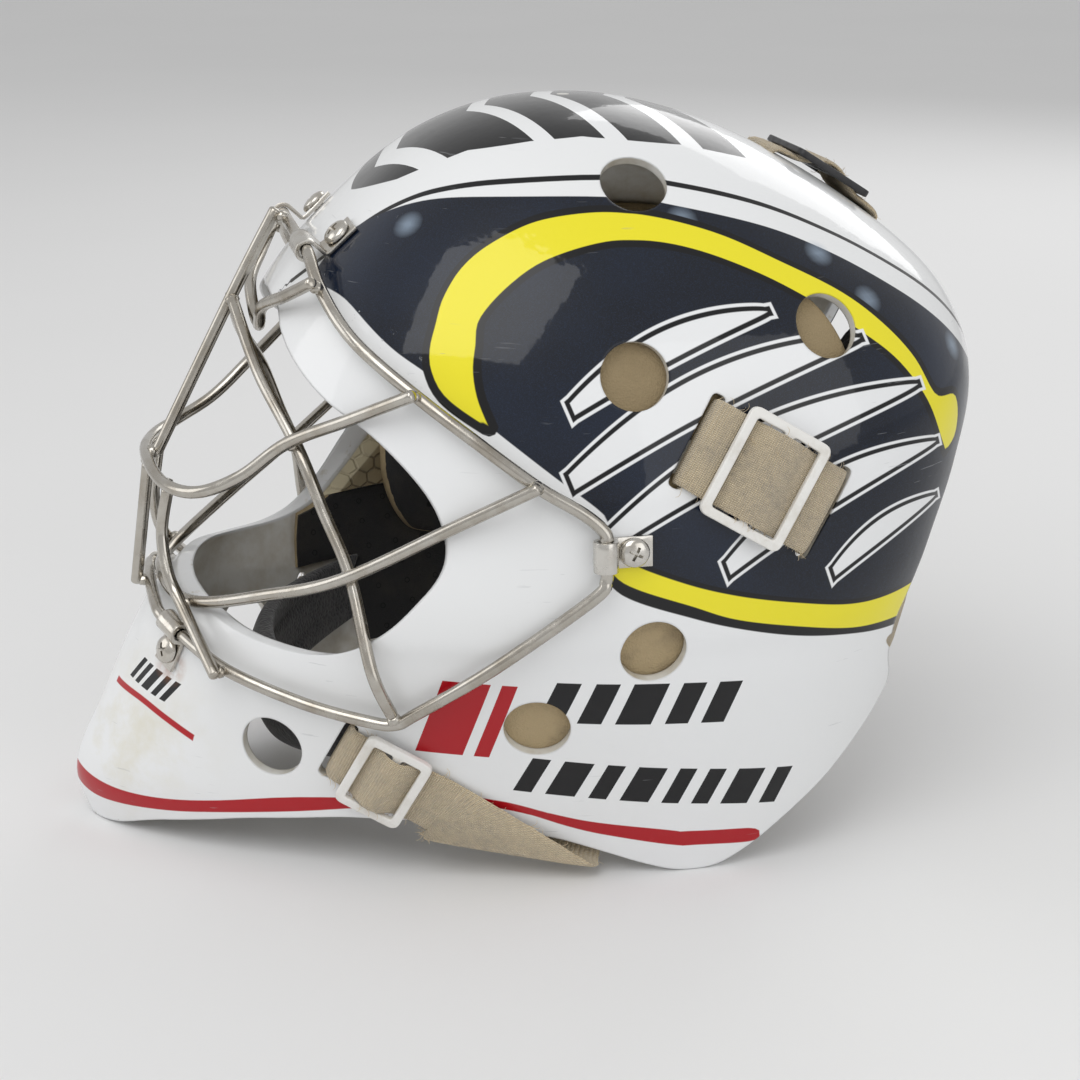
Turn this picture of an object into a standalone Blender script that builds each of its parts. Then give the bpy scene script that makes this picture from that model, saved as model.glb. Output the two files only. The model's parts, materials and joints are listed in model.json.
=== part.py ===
"""Ice hockey goaltender's mask: moulded shell, welded wire face cage, clips, liner, backplate and straps.

Millimetres in the design values, metres in the scene, +Z up. The wearer faces -Y and the wearer's left
is +X. The mask stands on the tip of its chin and on the two wings below the ears.
"""

import math
from collections import namedtuple

import bmesh
import bpy
import numpy as np
from mathutils import Matrix, Vector

MM = 0.001                   # the scene is in metres
GAP = 0.3                    # clearance between pieces that touch

# --- moulded shell ---------------------------------------------------------------------------------
SHELL_WALL = 3.6
SHELL_COLUMNS = 54           # facets round the shell
SHELL_ROWS = 22              # rings from the crown down
VENT_DIAMETER = 22.0
SLOT_WIDTH = 5.0             # across the strap
BROW_HEIGHT = 189.0          # upper edge of the face opening, in the middle
CHIN_LEDGE_HEIGHT = 89.0     # lower edge of the face opening, in the middle
ARCH_TOP = 173.0             # top of the rear opening
NOTCH_HEIGHT = 78.0          # where the jaw wing starts under the rear edge

# --- cage ------------------------------------------------------------------------------------------
WIRE_DIAMETER = 4.2
FRAME_STANDOFF = 5.0         # wire centre to the outside of the shell
BROW_STANDOFF = 8.0          # the same, over the forehead
BROW_CLEAR = 12.0            # the brow bar's lowest point below the edge of the opening

# --- clips, screws and nuts ------------------------------------------------------------------------
CLIP_WIDTH = 10.0
CLIP_THICKNESS = 1.4
CLIP_REACH = 9.8              # from the screw to the wire
SCREW_DIAMETER = 5.0
SCREW_HEAD_DIAMETER = 9.6
SCREW_HEAD_HEIGHT = 2.8
NUT_FLANGE_DIAMETER = 14.0
NUT_FLANGE_THICKNESS = 1.2
NUT_BARREL_DIAMETER = 7.6
NUT_LENGTH = 5.0

# --- liner -----------------------------------------------------------------------------------------
PAD_GAP = 0.7                # from the wall to a pad, which bridges the wall's facets
FOREHEAD_PAD = 13.0          # thicknesses
FOREHEAD_PAD_TOP = 234.0     # height of its upper edge, below the crown pad
SWEATBAND = 4.0
CROWN_PAD = 13.0
TEMPLE_PAD = 13.0
JAW_PAD = 20.0
CHIN_CUP = 9.0
BACK_PAD = 12.0

# --- backplate -------------------------------------------------------------------------------------
BACKPLATE_WALL = 3.0
BACKPLATE_DEPTH = 7.0        # its outside below the outside of the shell
BACKPLATE_HALF_WIDTH = 58.0
BACKPLATE_TOP = 158.0
BACKPLATE_BOTTOM = 62.0

# --- straps and sliders ----------------------------------------------------------------------------
STRAP_THICKNESS = 2.2
SIDE_STRAP_WIDTH = 30.0
LOWER_STRAP_WIDTH = 23.0
CROWN_STRAP_WIDTH = 30.0
SLIDER_BAR = 3.2             # width of a slider's bars
SLIDER_THICKNESS = 2.4
SIDE_SLIDER_LENGTH = 31.0      # along the strap
LOWER_SLIDER_LENGTH = 24.0
CROWN_SLIDER_LENGTH = 31.0

Station = namedtuple("Station", "height front rear half_width widest front_power rear_power")

# Rings of the outside of the shell from the crown down to below the rim. front and rear are Y of the
# ring on the middle plane, widest is Y where it is broadest, and the powers round or square its ends.
STATIONS = (
    Station(252.0, 8, 8, 0, 8, 2.2, 2.2),
    Station(248.5, -21, 37, 30, 9, 2.2, 2.2),
    Station(237.0, -47, 70, 55, 12, 2.3, 2.3),
    Station(215.0, -73, 108, 77, 15, 2.4, 2.4),
    Station(190.0, -95, 137, 95, 17, 2.4, 2.6),
    Station(163.0, -109, 148, 105, 15, 2.2, 2.8),
    Station(135.0, -119, 146, 110.5, 10, 2.0, 2.8),
    Station(108.0, -126, 140, 112, 6, 2.0, 2.8),
    Station(93.0, -127, 136, 111, 6, 2.0, 2.8),
    Station(84.0, -138, 134, 109, 8, 1.85, 2.8),
    Station(72.0, -147, 131, 107, 12, 1.75, 2.8),
    Station(45.0, -160, 124, 101.5, 20, 1.6, 2.8),
    Station(18.0, -171, 117, 96, 27, 1.5, 2.8),
    Station(-6.0, -165, 110, 91.5, 32, 1.45, 2.8),
)


class RingSurface:
    """The outside of the shell: rings of two joined superellipses, smoothly spaced along the height."""

    def __init__(self, stations):
        self.rows = np.array(stations, dtype=float)
        steps = np.diff(self.rows, axis=0)
        lengths = np.hypot(np.hypot(steps[:, 3], steps[:, 0]), 0.35 * steps[:, 1])
        self.knots = np.concatenate([[0.0], np.cumsum(lengths)])
        self.samples = np.linspace(0.0, self.knots[-1], 500)
        self.heights = np.array([self.ring(t)[0] for t in self.samples])

    def _neighbour(self, index):
        """Knot and row at an index; past the crown the rings come out again on the other side."""
        if index < 0:
            row = self.rows[1].copy()
            row[1:5] = 2 * self.rows[0][1:5] - row[1:5]
            return -self.knots[1], row
        if index >= len(self.knots):
            return 2 * self.knots[-1] - self.knots[-2], 2 * self.rows[-1] - self.rows[-2]
        return self.knots[index], self.rows[index]

    def ring(self, t):
        """Ring at distance t along the height, as a row of the station's values."""
        last = len(self.knots) - 2
        i = int(np.clip(np.searchsorted(self.knots, t, side="right") - 1, 0, last))
        (ta, a), (tb, b), (tc, c), (td, d) = [self._neighbour(i + k) for k in (-1, 0, 1, 2)]
        span = tc - tb
        u = (t - tb) / span
        slope_b = (c - a) / (tc - ta) * span
        slope_c = (d - b) / (td - tb) * span
        return ((2 * u**3 - 3 * u**2 + 1) * b + (u**3 - 2 * u**2 + u) * slope_b
                + (3 * u**2 - 2 * u**3) * c + (u**3 - u**2) * slope_c)

    def at_height(self, z):
        return self.ring(np.interp(-z, -self.heights, self.samples))

    def point(self, ring, angle):
        """Point of a ring; angle 0 is the front, 90 degrees the wearer's left."""
        z, front, rear, half, widest, front_power, rear_power = ring
        s, c = math.sin(angle), math.cos(angle)
        reach, power = (front - widest, front_power) if c > 0 else (rear - widest, rear_power)
        x = half * math.copysign(abs(s) ** (2 / power), s)
        return Vector((x, widest + reach * abs(c) ** (2 / power), z))

    def _reach(self, x, z, rear):
        _, front, back, half, widest, front_power, rear_power = self.at_height(z)
        end, power = (back, rear_power) if rear else (front, front_power)
        return widest + (end - widest) * (1 - min(1.0, abs(x) / half) ** power) ** (1 / power)

    def front(self, x, z):
        """Point of the front of the shell (also where the face opening is)."""
        return Vector((x, self._reach(x, z, False), z))

    def back(self, x, z):
        return Vector((x, self._reach(x, z, True), z))

    def side(self, y, z, sign=1):
        """Point of the side of the shell on the left (+1) or the right (-1)."""
        _, front, rear, half, widest, front_power, rear_power = self.at_height(z)
        end, power = (rear, rear_power) if y > widest else (front, front_power)
        share = min(1.0, abs(y - widest) / abs(end - widest))
        return Vector((sign * half * (1 - share**power) ** (1 / power), y, z))

    def level(self, p):
        """Below 0 inside the shell's outside, above 0 outside it."""
        _, front, rear, half, widest, front_power, rear_power = self.at_height(p.z)
        end, power = (rear, rear_power) if p.y > widest else (front, front_power)
        half = max(half, 0.01)
        reach = max(abs(end - widest), 0.01)
        return ((abs(p.x) / half) ** power + (abs(p.y - widest) / reach) ** power) ** (1 / power) - 1

    def normal(self, p):
        step = 0.2
        top = self.rows[0][0] - 2 * step
        q = Vector((p.x, p.y, min(p.z, top)))
        axes = (Vector((step, 0, 0)), Vector((0, step, 0)), Vector((0, 0, step)))
        return Vector([self.level(q + a) - self.level(q - a) for a in axes]).normalized()

    def lifted(self, p, distance):
        """The point moved along the outward normal; a negative distance goes inside."""
        return p + self.normal(p) * distance


SHELL = RingSurface(STATIONS)
PART_CENTRE_Y = 0.5 * (min(s.front for s in STATIONS) + SHELL.back(0, ARCH_TOP).y)


# --- scene helpers ---------------------------------------------------------------------------------
def clear_scene():
    for item in list(bpy.data.objects):
        bpy.data.objects.remove(item, do_unlink=True)


def make_collection(name):
    group = bpy.data.collections.new(name)
    bpy.context.scene.collection.children.link(group)
    return group


def make_material(name, colour, roughness, metallic=0.0):
    material = bpy.data.materials.new(name)
    material.use_nodes = True
    shader = material.node_tree.nodes["Principled BSDF"]
    shader.inputs["Base Color"].default_value = (*colour, 1.0)
    shader.inputs["Roughness"].default_value = roughness
    shader.inputs["Metallic"].default_value = metallic
    return material


def placed(point):
    """A design point in the scene: metres, with the mask's middle over the origin."""
    return Vector((point[0], point[1] - PART_CENTRE_Y, point[2])) * MM


def add_mesh(name, points, faces, material, group, smooth=True, sharp=40.0):
    """Closed mesh from design points; its faces are turned outwards."""
    mesh = bpy.data.meshes.new(name)
    mesh.from_pydata([placed(p) for p in points], [], faces)
    shape = bmesh.new()
    shape.from_mesh(mesh)
    bmesh.ops.recalc_face_normals(shape, faces=shape.faces)
    shape.to_mesh(mesh)
    shape.free()
    if smooth:
        mesh.shade_smooth()
        mesh.set_sharp_from_angle(angle=math.radians(sharp))
    return add_object(name, mesh, material, group)


def add_object(name, mesh, material, group):
    item = bpy.data.objects.new(name, mesh)
    if material:
        mesh.materials.append(material)
    group.objects.link(item)
    return item


def hide_cutter(item):
    item.hide_render = True
    item.display_type = "WIRE"
    return item


def cut(item, cutter):
    modifier = item.modifiers.new("cut", "BOOLEAN")
    modifier.operation = "DIFFERENCE"
    modifier.solver = "EXACT"
    modifier.object = cutter


def axes_from(normal, along):
    """Right-handed frame whose Z is the normal and whose X is as near along as it can be."""
    z = normal.normalized()
    x = (along - z * along.dot(z)).normalized()
    return x, z.cross(x), z


def to_world(origin, frame, local):
    x, y, z = frame
    return origin + x * local[0] + y * local[1] + z * local[2]


def smooth_path(points, per_span):
    """Catmull-Rom curve through the points."""
    path = []
    for i in range(len(points) - 1):
        a = points[max(i - 1, 0)]
        b, c = points[i], points[i + 1]
        d = points[min(i + 2, len(points) - 1)]
        for k in range(per_span):
            u = k / per_span
            path.append(0.5 * ((2 * b) + (c - a) * u + (2 * a - 5 * b + 4 * c - d) * u**2
                               + (3 * b - a - 3 * c + d) * u**3))
    path.append(points[-1])
    return path


def outline_prism(name, outline, axis, low, high, group):
    """Cutter from an outline in the plane across an axis ('X': points are Y, Z; 'Y': points are X, Z)."""
    def place(point, depth):
        return (depth, point[0], point[1]) if axis == "X" else (point[0], depth, point[1])
    count = len(outline)
    points = [place(p, low) for p in outline] + [place(p, high) for p in outline]
    faces = [tuple(range(count)), tuple(range(count, 2 * count))]
    faces += [(i, (i + 1) % count, count + (i + 1) % count, count + i) for i in range(count)]
    return hide_cutter(add_mesh(name, points, faces, None, group, smooth=False))


def rounded(points, radius=3.0):
    """Outline whose corners are cut to short smooth bends."""
    result = []
    count = len(points)
    for i, point in enumerate(points):
        here = Vector(point)
        before, after = Vector(points[i - 1]) - here, Vector(points[(i + 1) % count]) - here
        reach = min(radius, 0.45 * before.length, 0.45 * after.length)
        a, b = here + before.normalized() * reach, here + after.normalized() * reach
        result += [tuple(a), tuple(0.25 * a + 0.5 * here + 0.25 * b), tuple(b)]
    return result


def cylinder_cutter(name, centre, normal, radius, reach, group, sides=24):
    """Round cutter along a normal, reaching both ways from its centre."""
    frame = axes_from(normal, Vector((0.3, 0.9, 0.2)))
    ring = [(radius * math.cos(2 * math.pi * k / sides), radius * math.sin(2 * math.pi * k / sides))
            for k in range(sides)]
    points = [to_world(centre, frame, (u, v, h)) for h in (-reach, reach) for u, v in ring]
    faces = [tuple(range(sides)), tuple(range(sides, 2 * sides))]
    faces += [(i, (i + 1) % sides, sides + (i + 1) % sides, sides + i) for i in range(sides)]
    return hide_cutter(add_mesh(name, points, faces, None, group, smooth=False))


def box_cutter(name, centre, frame, sizes, group):
    """Straight-sided cutter in a frame, with full sizes along its three axes."""
    half = [s / 2 for s in sizes]
    points = [to_world(centre, frame, (half[0] * a, half[1] * b, half[2] * c))
              for a in (-1, 1) for b in (-1, 1) for c in (-1, 1)]
    faces = [(0, 1, 3, 2), (4, 6, 7, 5), (0, 4, 5, 1), (2, 3, 7, 6), (0, 2, 6, 4), (1, 5, 7, 3)]
    return hide_cutter(add_mesh(name, points, faces, None, group, smooth=False))


def turned(name, profile, origin, normal, material, group, steps=12):
    """Turned piece from a profile of (radius, height); closed with a Screw modifier on its own axis."""
    mesh = bpy.data.meshes.new(name)
    points = [(r * MM, 0.0, h * MM) for r, h in profile]
    closed = profile[0][0] > 0.001
    edges = [(i, i + 1) for i in range(len(points) - 1)]
    if closed:
        edges.append((len(points) - 1, 0))
    mesh.from_pydata(points, edges, [])
    item = add_object(name, mesh, material, group)
    x, y, z = axes_from(normal, Vector((0.2, 0.3, 0.9)))
    place = placed(origin)
    item.matrix_world = Matrix(((x.x, y.x, z.x, place.x), (x.y, y.y, z.y, place.y),
                                (x.z, y.z, z.z, place.z), (0, 0, 0, 1)))
    spin = item.modifiers.new("turn", "SCREW")
    spin.steps = steps
    spin.render_steps = steps
    spin.use_merge_vertices = True
    spin.merge_threshold = 0.00001
    spin.use_smooth_shade = True
    spin.use_normal_calculate = True
    spin.use_normal_flip = True
    return item


# --- places on the shell ---------------------------------------------------------------------------
VENTS = (                     # Y and Z on each side
    (17, 231), (74, 188), (8, 177), (13, 88), (-23, 60), (-106, 45),
)
SIDE_SLOTS = ((27, 156.5), (70, 130))      # Y and Z of the middle of each slot, front and rear
LOWER_SLOT = (-85, 47)
LOWER_STRAP_RIM = (-52, 28.5)              # where the lower strap is last flat on the shell
LOWER_STRAP_FOLD = ((-57, 16.5), (0, 5.5)) # the slanting line on which it folds under the rim
CROWN_SLOTS = (79, 119)                    # Y of each slot on the middle plane
WIRE_RADIUS = WIRE_DIAMETER / 2
WIRE_STEP = WIRE_DIAMETER + GAP            # between the axes of two wires that are welded together


def crown_point(y):
    """Point of the shell's top on the middle plane at a given Y behind the pole."""
    low, high = ARCH_TOP, STATIONS[0].height - 0.05
    for _ in range(40):
        middle = 0.5 * (low + high)
        if SHELL.at_height(middle)[2] > y:
            low = middle
        else:
            high = middle
    return Vector((0, y, 0.5 * (low + high)))


def over_shell(point, standoff):
    """Wire centre that stands off the shell's outside."""
    return SHELL.lifted(point, standoff)


def kept_clear(point, standoff):
    """The point, moved out where it is nearer to the shell's outside than the standoff."""
    surface = SHELL.front(point.x, point.z)
    out = SHELL.normal(surface)
    return point + out * max(0.0, standoff - (point - surface).dot(out))


def screw_place(wire, wire_axis, towards, on_side):
    """Point of the shell where the screw goes of a clip that holds the wire."""
    out = SHELL.normal(wire)
    across = wire_axis.cross(out).normalized()
    if across.dot(towards) < 0:
        across = -across
    low, high = 0.3 * CLIP_REACH, 2.2 * CLIP_REACH
    for _ in range(30):
        middle = 0.5 * (low + high)
        guess = wire + across * middle
        screw = SHELL.side(guess.y, guess.z) if on_side else SHELL.front(guess.x, guess.z)
        gap = wire - screw
        gap -= SHELL.normal(screw) * gap.dot(SHELL.normal(screw))
        low, high = (middle, high) if gap.length < CLIP_REACH else (low, middle)
    return screw


def frame_points():
    """Left half of the frame that carries the cage, from the top middle to the front middle."""
    front, side = SHELL.front, SHELL.side
    straight = [over_shell(side(-4.2, z), FRAME_STANDOFF) for z in (130.5, 126.5, 123, 119.5, 115.5)]
    places = {
        "top_middle": over_shell(front(0, BROW_HEIGHT + 17), BROW_STANDOFF),
        "top_inner": over_shell(front(18, BROW_HEIGHT + 16), BROW_STANDOFF),
        "top_clip": over_shell(front(28, BROW_HEIGHT + 15), BROW_STANDOFF - 0.5),
        "top_outer": over_shell(front(38, BROW_HEIGHT + 12.5), BROW_STANDOFF - 1.5),
        "brow_corner": over_shell(front(51, BROW_HEIGHT + 6), FRAME_STANDOFF + 0.5),
        "forehead": over_shell(front(70, 184), FRAME_STANDOFF),
        "temple": over_shell(front(87, 170.5), FRAME_STANDOFF),
        "upper_cheek": over_shell(side(-41, 158), FRAME_STANDOFF),
        "cheek": over_shell(side(-24, 145), FRAME_STANDOFF),
        "side_1": over_shell(side(-10.5, 136.5), FRAME_STANDOFF),
        "side_2": straight[0], "side_3": straight[1], "side_clip": straight[2],
        "side_4": straight[3], "side_5": straight[4],
        "side_6": over_shell(side(-8.5, 109.5), FRAME_STANDOFF),
        "lower_cheek": over_shell(side(-38, 87), FRAME_STANDOFF),
        "jaw": over_shell(side(-60, 68), FRAME_STANDOFF),
        "jaw_corner": over_shell(side(-66, 63.5), FRAME_STANDOFF + 0.3),
        "jaw_front": over_shell(side(-74, 63.5), FRAME_STANDOFF + 0.3),
        "mouth_side": over_shell(front(72, 67), FRAME_STANDOFF),
        "mouth": over_shell(front(55, 73), FRAME_STANDOFF),
        "chin_outer": over_shell(front(39, 77.5), FRAME_STANDOFF - 0.3),
        "chin_clip": over_shell(front(30, 80), FRAME_STANDOFF - 0.5),
        "chin_inner": over_shell(front(21, 82), FRAME_STANDOFF - 0.6),
        "bottom_middle": over_shell(front(0, 84), FRAME_STANDOFF - 0.6),
    }
    for before, clip, after in (("top_inner", "top_clip", "top_outer"),
                                ("chin_outer", "chin_clip", "chin_inner")):
        along = (places[after] - places[before]).normalized()
        screw = screw_place(places[clip], along, Vector((0, 0, 1 if clip == "top_clip" else -1)), False)
        normal = SHELL.normal(screw)
        along = (along - normal * along.dot(normal)).normalized() * 7.5
        places[before], places[after] = places[clip] - along, places[clip] + along
    return places


FRAME = frame_points()


def frame_direction(name):
    """Unit tangent of the frame at one of its points, on the left half."""
    names = list(FRAME)
    i = names.index(name)
    return (FRAME[names[i + 1]] - FRAME[names[i - 1]]).normalized()


def stacked_on_frame(name, steps=1.0):
    """Axis of a wire that lies on the outside of the frame at one of its points."""
    along = frame_direction(name)
    out = SHELL.normal(FRAME[name])
    out = (out - along * out.dot(along)).normalized()
    return FRAME[name] + out * WIRE_STEP * steps


class ClipPlace:
    """Where a clip holds the frame: its wire, its screw and the plane that its plate lies on."""

    def __init__(self, name, towards, nut_gap, sign, on_side):
        wire_axis = frame_direction(name)
        screw = screw_place(FRAME[name], wire_axis, towards, on_side)
        self.nut_gap = nut_gap
        flip = Matrix.Diagonal((sign, 1, 1))
        self.screw = flip @ screw
        self.normal = SHELL.normal(self.screw)
        self.wire = flip @ FRAME[name]
        self.wire_axis = flip @ wire_axis
        to_wire = self.wire - self.screw
        to_wire -= self.wire_axis * to_wire.dot(self.wire_axis)
        self.frame = axes_from(self.normal, to_wire)
        self.reach = to_wire.dot(self.frame[0])
        self.height = to_wire.dot(self.normal)


CLIP_PLACES = {
    f"{name}_{side}": ClipPlace(*values, sign, on_side)
    for sign, side in ((1, "l"), (-1, "r"))
    for name, on_side, values in (
        ("top", False, ("top_clip", Vector((0, 0, 1)), 0.6)),
        ("side", True, ("side_clip", Vector((0, 1, 0)), 0.6)),
        ("chin", False, ("chin_clip", Vector((0, 0, -1)), 2.4)),
    )
}


# --- shell -----------------------------------------------------------------------------------------
def side_strap_direction(sign):
    front = SHELL.side(*SIDE_SLOTS[0], sign)
    rear = SHELL.side(*SIDE_SLOTS[1], sign)
    return (rear - front).normalized()


def lower_strap_direction(sign):
    return (SHELL.side(*LOWER_STRAP_RIM, sign) - SHELL.side(*LOWER_SLOT, sign)).normalized()


def face_opening_outline():
    half = [(0, BROW_HEIGHT), (22, BROW_HEIGHT - 1), (36, BROW_HEIGHT - 7), (50, BROW_HEIGHT - 14),
            (66, 166), (81, 157), (92, 143), (98, 127), (98.5, 113), (93, 98), (84, 87), (74, 82.5),
            (60, 83.5), (40, CHIN_LEDGE_HEIGHT - 2), (20, CHIN_LEDGE_HEIGHT - 0.5),
            (0, CHIN_LEDGE_HEIGHT)]
    smooth = smooth_path([Vector(p) for p in half], 2)
    right = [tuple(p) for p in smooth]
    return right + [(-x, z) for x, z in reversed(right[1:-1])]


def rear_arch_outline():
    top = [(0, ARCH_TOP), (30, ARCH_TOP), (50, ARCH_TOP - 3), (62, ARCH_TOP - 11), (68, 150), (74, 137),
           (80, 120), (84, 98), (86.5, NOTCH_HEIGHT + 4), (84, NOTCH_HEIGHT - 9), (77, NOTCH_HEIGHT - 19),
           (76, -20)]
    return top + [(-x, z) for x, z in reversed(top[1:])]


def underside_outline():
    """Side view of what is cut off below the chin, the jaw and the rear edge of the wings."""
    rim = [(-200, 0), (-160, 0), (-146, 7), (-115, 15), (-83, 20), (-50, 21), (-14, 15), (1, 9.5),
           (16, 3.5), (27, 0), (41, 0), (53, 7), (81, 29), (101, 49), (109, 60), (109.5, 66),
           (99, NOTCH_HEIGHT), (200, NOTCH_HEIGHT), (200, -40), (-200, -40)]
    return rounded(rim)


def build_shell(material, group, cutters):
    rings = np.linspace(0.0, SHELL.knots[-1], SHELL_ROWS + 1)[1:]
    points = [Vector((0, STATIONS[0].front, STATIONS[0].height))]
    for t in rings:
        ring = SHELL.ring(t)
        points += [SHELL.point(ring, 2 * math.pi * k / SHELL_COLUMNS) for k in range(SHELL_COLUMNS)]
    faces = [(0, 1 + k, 1 + (k + 1) % SHELL_COLUMNS) for k in range(SHELL_COLUMNS)]
    for row in range(SHELL_ROWS - 1):
        a, b = 1 + row * SHELL_COLUMNS, 1 + (row + 1) * SHELL_COLUMNS
        faces += [(a + k, b + k, b + (k + 1) % SHELL_COLUMNS, a + (k + 1) % SHELL_COLUMNS)
                  for k in range(SHELL_COLUMNS)]
    shell = add_mesh("shell", points, faces, material, group)
    wall = shell.modifiers.new("wall", "SOLIDIFY")
    wall.thickness = SHELL_WALL * MM
    wall.offset = -1.0
    wall.use_even_offset = True

    tools = [outline_prism("cut_face", face_opening_outline(), "Y", -260, -15, cutters),
             outline_prism("cut_rear", rounded(rear_arch_outline(), 8.0), "Y", 45, 260, cutters),
             outline_prism("cut_underside", underside_outline(), "X", -160, 160, cutters)]
    for sign, side in ((1, "l"), (-1, "r")):
        for number, (y, z) in enumerate(VENTS, 1):
            centre = SHELL.side(y, z, sign)
            tools.append(cylinder_cutter(f"cut_vent_{number}_{side}", centre, SHELL.normal(centre),
                                         VENT_DIAMETER / 2, 14, cutters))
        for number, (y, z) in enumerate(SIDE_SLOTS, 1):
            centre = SHELL.side(y, z, sign)
            frame = axes_from(SHELL.normal(centre), side_strap_direction(sign))
            tools.append(box_cutter(f"cut_side_slot_{number}_{side}", centre, frame,
                                    (SLOT_WIDTH, SIDE_STRAP_WIDTH + 3, 16), cutters))
        centre = SHELL.side(*LOWER_SLOT, sign)
        frame = axes_from(SHELL.normal(centre), lower_strap_direction(sign))
        tools.append(box_cutter(f"cut_lower_slot_{side}", centre, frame,
                                (SLOT_WIDTH, LOWER_STRAP_WIDTH + 3, 16), cutters))
    for name, place in CLIP_PLACES.items():
        tools.append(cylinder_cutter(f"cut_screw_{name}", place.screw, place.normal,
                                     SCREW_DIAMETER / 2 + GAP, 9, cutters, 16))
    for number, y in enumerate(CROWN_SLOTS, 1):
        centre = crown_point(y)
        frame = axes_from(SHELL.normal(centre), Vector((0, 1, -0.5)))
        tools.append(box_cutter(f"cut_crown_slot_{number}", centre, frame,
                                (SLOT_WIDTH, CROWN_STRAP_WIDTH + 3, 16), cutters))
    for tool in tools:
        cut(shell, tool)
    return shell


# --- cage ------------------------------------------------------------------------------------------
def wire(name, points, material, group, per_span=5, closed=False, mirror=False):
    """Round wire through the points; mirror adds the other half of a wire that crosses the middle."""
    if mirror:
        points = points + [Vector((-p.x, p.y, p.z)) for p in reversed(points[:-1])]
    path = smooth_path(points, per_span)
    curve = bpy.data.curves.new(name, "CURVE")
    curve.dimensions = "3D"
    curve.bevel_depth = WIRE_RADIUS * MM
    curve.bevel_resolution = 2
    curve.use_fill_caps = True
    spline = curve.splines.new("POLY")
    if closed:
        path = path[:-1]
    spline.points.add(len(path) - 1)
    for point, where in zip(spline.points, path):
        point.co = (*placed(where), 1.0)
    spline.use_cyclic_u = closed
    item = bpy.data.objects.new(name, curve)
    curve.materials.append(material)
    group.objects.link(item)
    return item


def build_cage(material, group):
    """Frame, centre bar, brow, eye and mouth bars, two side bars and three chin bars."""
    half = list(FRAME.values())
    loop = half + [Vector((-p.x, p.y, p.z)) for p in reversed(half[:-1])]
    wire("cage_frame", loop, material, group, per_span=2, closed=True)

    eye_side, mouth_side = Vector((60, -97, 150.5)), Vector((82, -83, 110.5))
    eye_out = Vector((0.54, -0.743, 0.392)).normalized()
    mouth_out = Vector((0.769, -0.631, 0.1)).normalized()
    eye_front, mouth_front = Vector((0, -140, 133)), Vector((0, -137, 91))
    eye_end, mouth_end = stacked_on_frame("temple", 1.1), stacked_on_frame("cheek", 1.08)

    head = FRAME["top_middle"] + Vector((0, -WIRE_STEP, 4))
    foot = eye_front + Vector((0, WIRE_STEP - 0.5, 0.5))
    wire("cage_centre_bar", [head, head.lerp(foot, 0.33) + Vector((0, -0.6, 0)), foot],
         material, group, 3)

    brow = SHELL.front(0, BROW_HEIGHT)
    brow_end, brow_dip = stacked_on_frame("brow_corner", 1.3), brow - Vector((0, 3.6, BROW_CLEAR))
    over_brow = [kept_clear(brow_end.lerp(brow_dip, share) + Vector((0, -3, 0)), WIRE_RADIUS + 1.5)
                 for share in (0.3, 0.62)]
    wire("cage_brow_bar", [brow_end, *over_brow, brow_dip + Vector((9, -0.5, 2)), brow_dip],
         material, group, 3, mirror=True)
    wire("cage_eye_bar", [eye_end, eye_end.lerp(eye_side, 0.5), eye_side, Vector((54, -112, 138.5)),
                          Vector((47, -126, 132)), Vector((30, -136, 131)), eye_front],
         material, group, 3, mirror=True)
    over_edge = SHELL.lifted(SHELL.side(-46, 133), WIRE_RADIUS + 1.5)
    wire("cage_mouth_bar", [mouth_end, over_edge, mouth_side,
                            Vector((60, -107, 99)), Vector((40, -125, 91)), Vector((22, -134, 89)),
                            mouth_front], material, group, 3, mirror=True)

    for sign, side in ((1, "l"), (-1, "r")):
        flip = Matrix.Diagonal((sign, 1, 1))
        root = head.lerp(foot, 0.36) + Vector((WIRE_RADIUS + 2.4, 0, 0))
        eye = eye_side - eye_out * WIRE_STEP
        mouth = mouth_side - mouth_out * WIRE_STEP
        corner = FRAME["jaw_corner"]
        over_edge = SHELL.lifted(SHELL.side(-73, 83.5), WIRE_RADIUS + 4.2)
        end = corner + (over_edge - corner).normalized() * (WIRE_RADIUS + 2.1)
        bar = [root, root.lerp(eye, 0.5) + Vector((2, -2, 0.5)), eye, eye.lerp(mouth, 0.5), mouth,
               over_edge, end]
        wire(f"cage_side_bar_{side}", [flip @ p for p in bar], material, group, 4)

        top = Vector((27, -134.5, 131 - WIRE_STEP + 0.5))
        crossing = Vector((35, -128.3, 90)) + Vector((0.35, -0.93, 0)) * WIRE_STEP
        bar = [top, Vector((25, -137, 112)), Vector((30, -136, 99)), crossing,
               stacked_on_frame("mouth", 1.35)]
        wire(f"cage_chin_bar_{side}", [flip @ p for p in bar], material, group, 4)

    top = eye_front + Vector((0, 0.4, -WIRE_STEP + 0.1))
    bottom = FRAME["bottom_middle"] + Vector((0, -WIRE_STEP - 0.1, -0.5))
    wire("cage_chin_bar_middle", [top, Vector((0, -142, 112)), bottom], material, group, 3)


# --- clips, screws and nuts ------------------------------------------------------------------------
def strip_outline(path, thickness):
    """Closed outline of a bent strip from its middle line."""
    outer, inner = [], []
    for i, here in enumerate(path):
        before, after = path[max(i - 1, 0)], path[min(i + 1, len(path) - 1)]
        along = (after - before).normalized()
        side = Vector((-along.y, along.x)) * thickness / 2
        outer.append(here + side)
        inner.append(here - side)
    return outer + inner[::-1]


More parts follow.
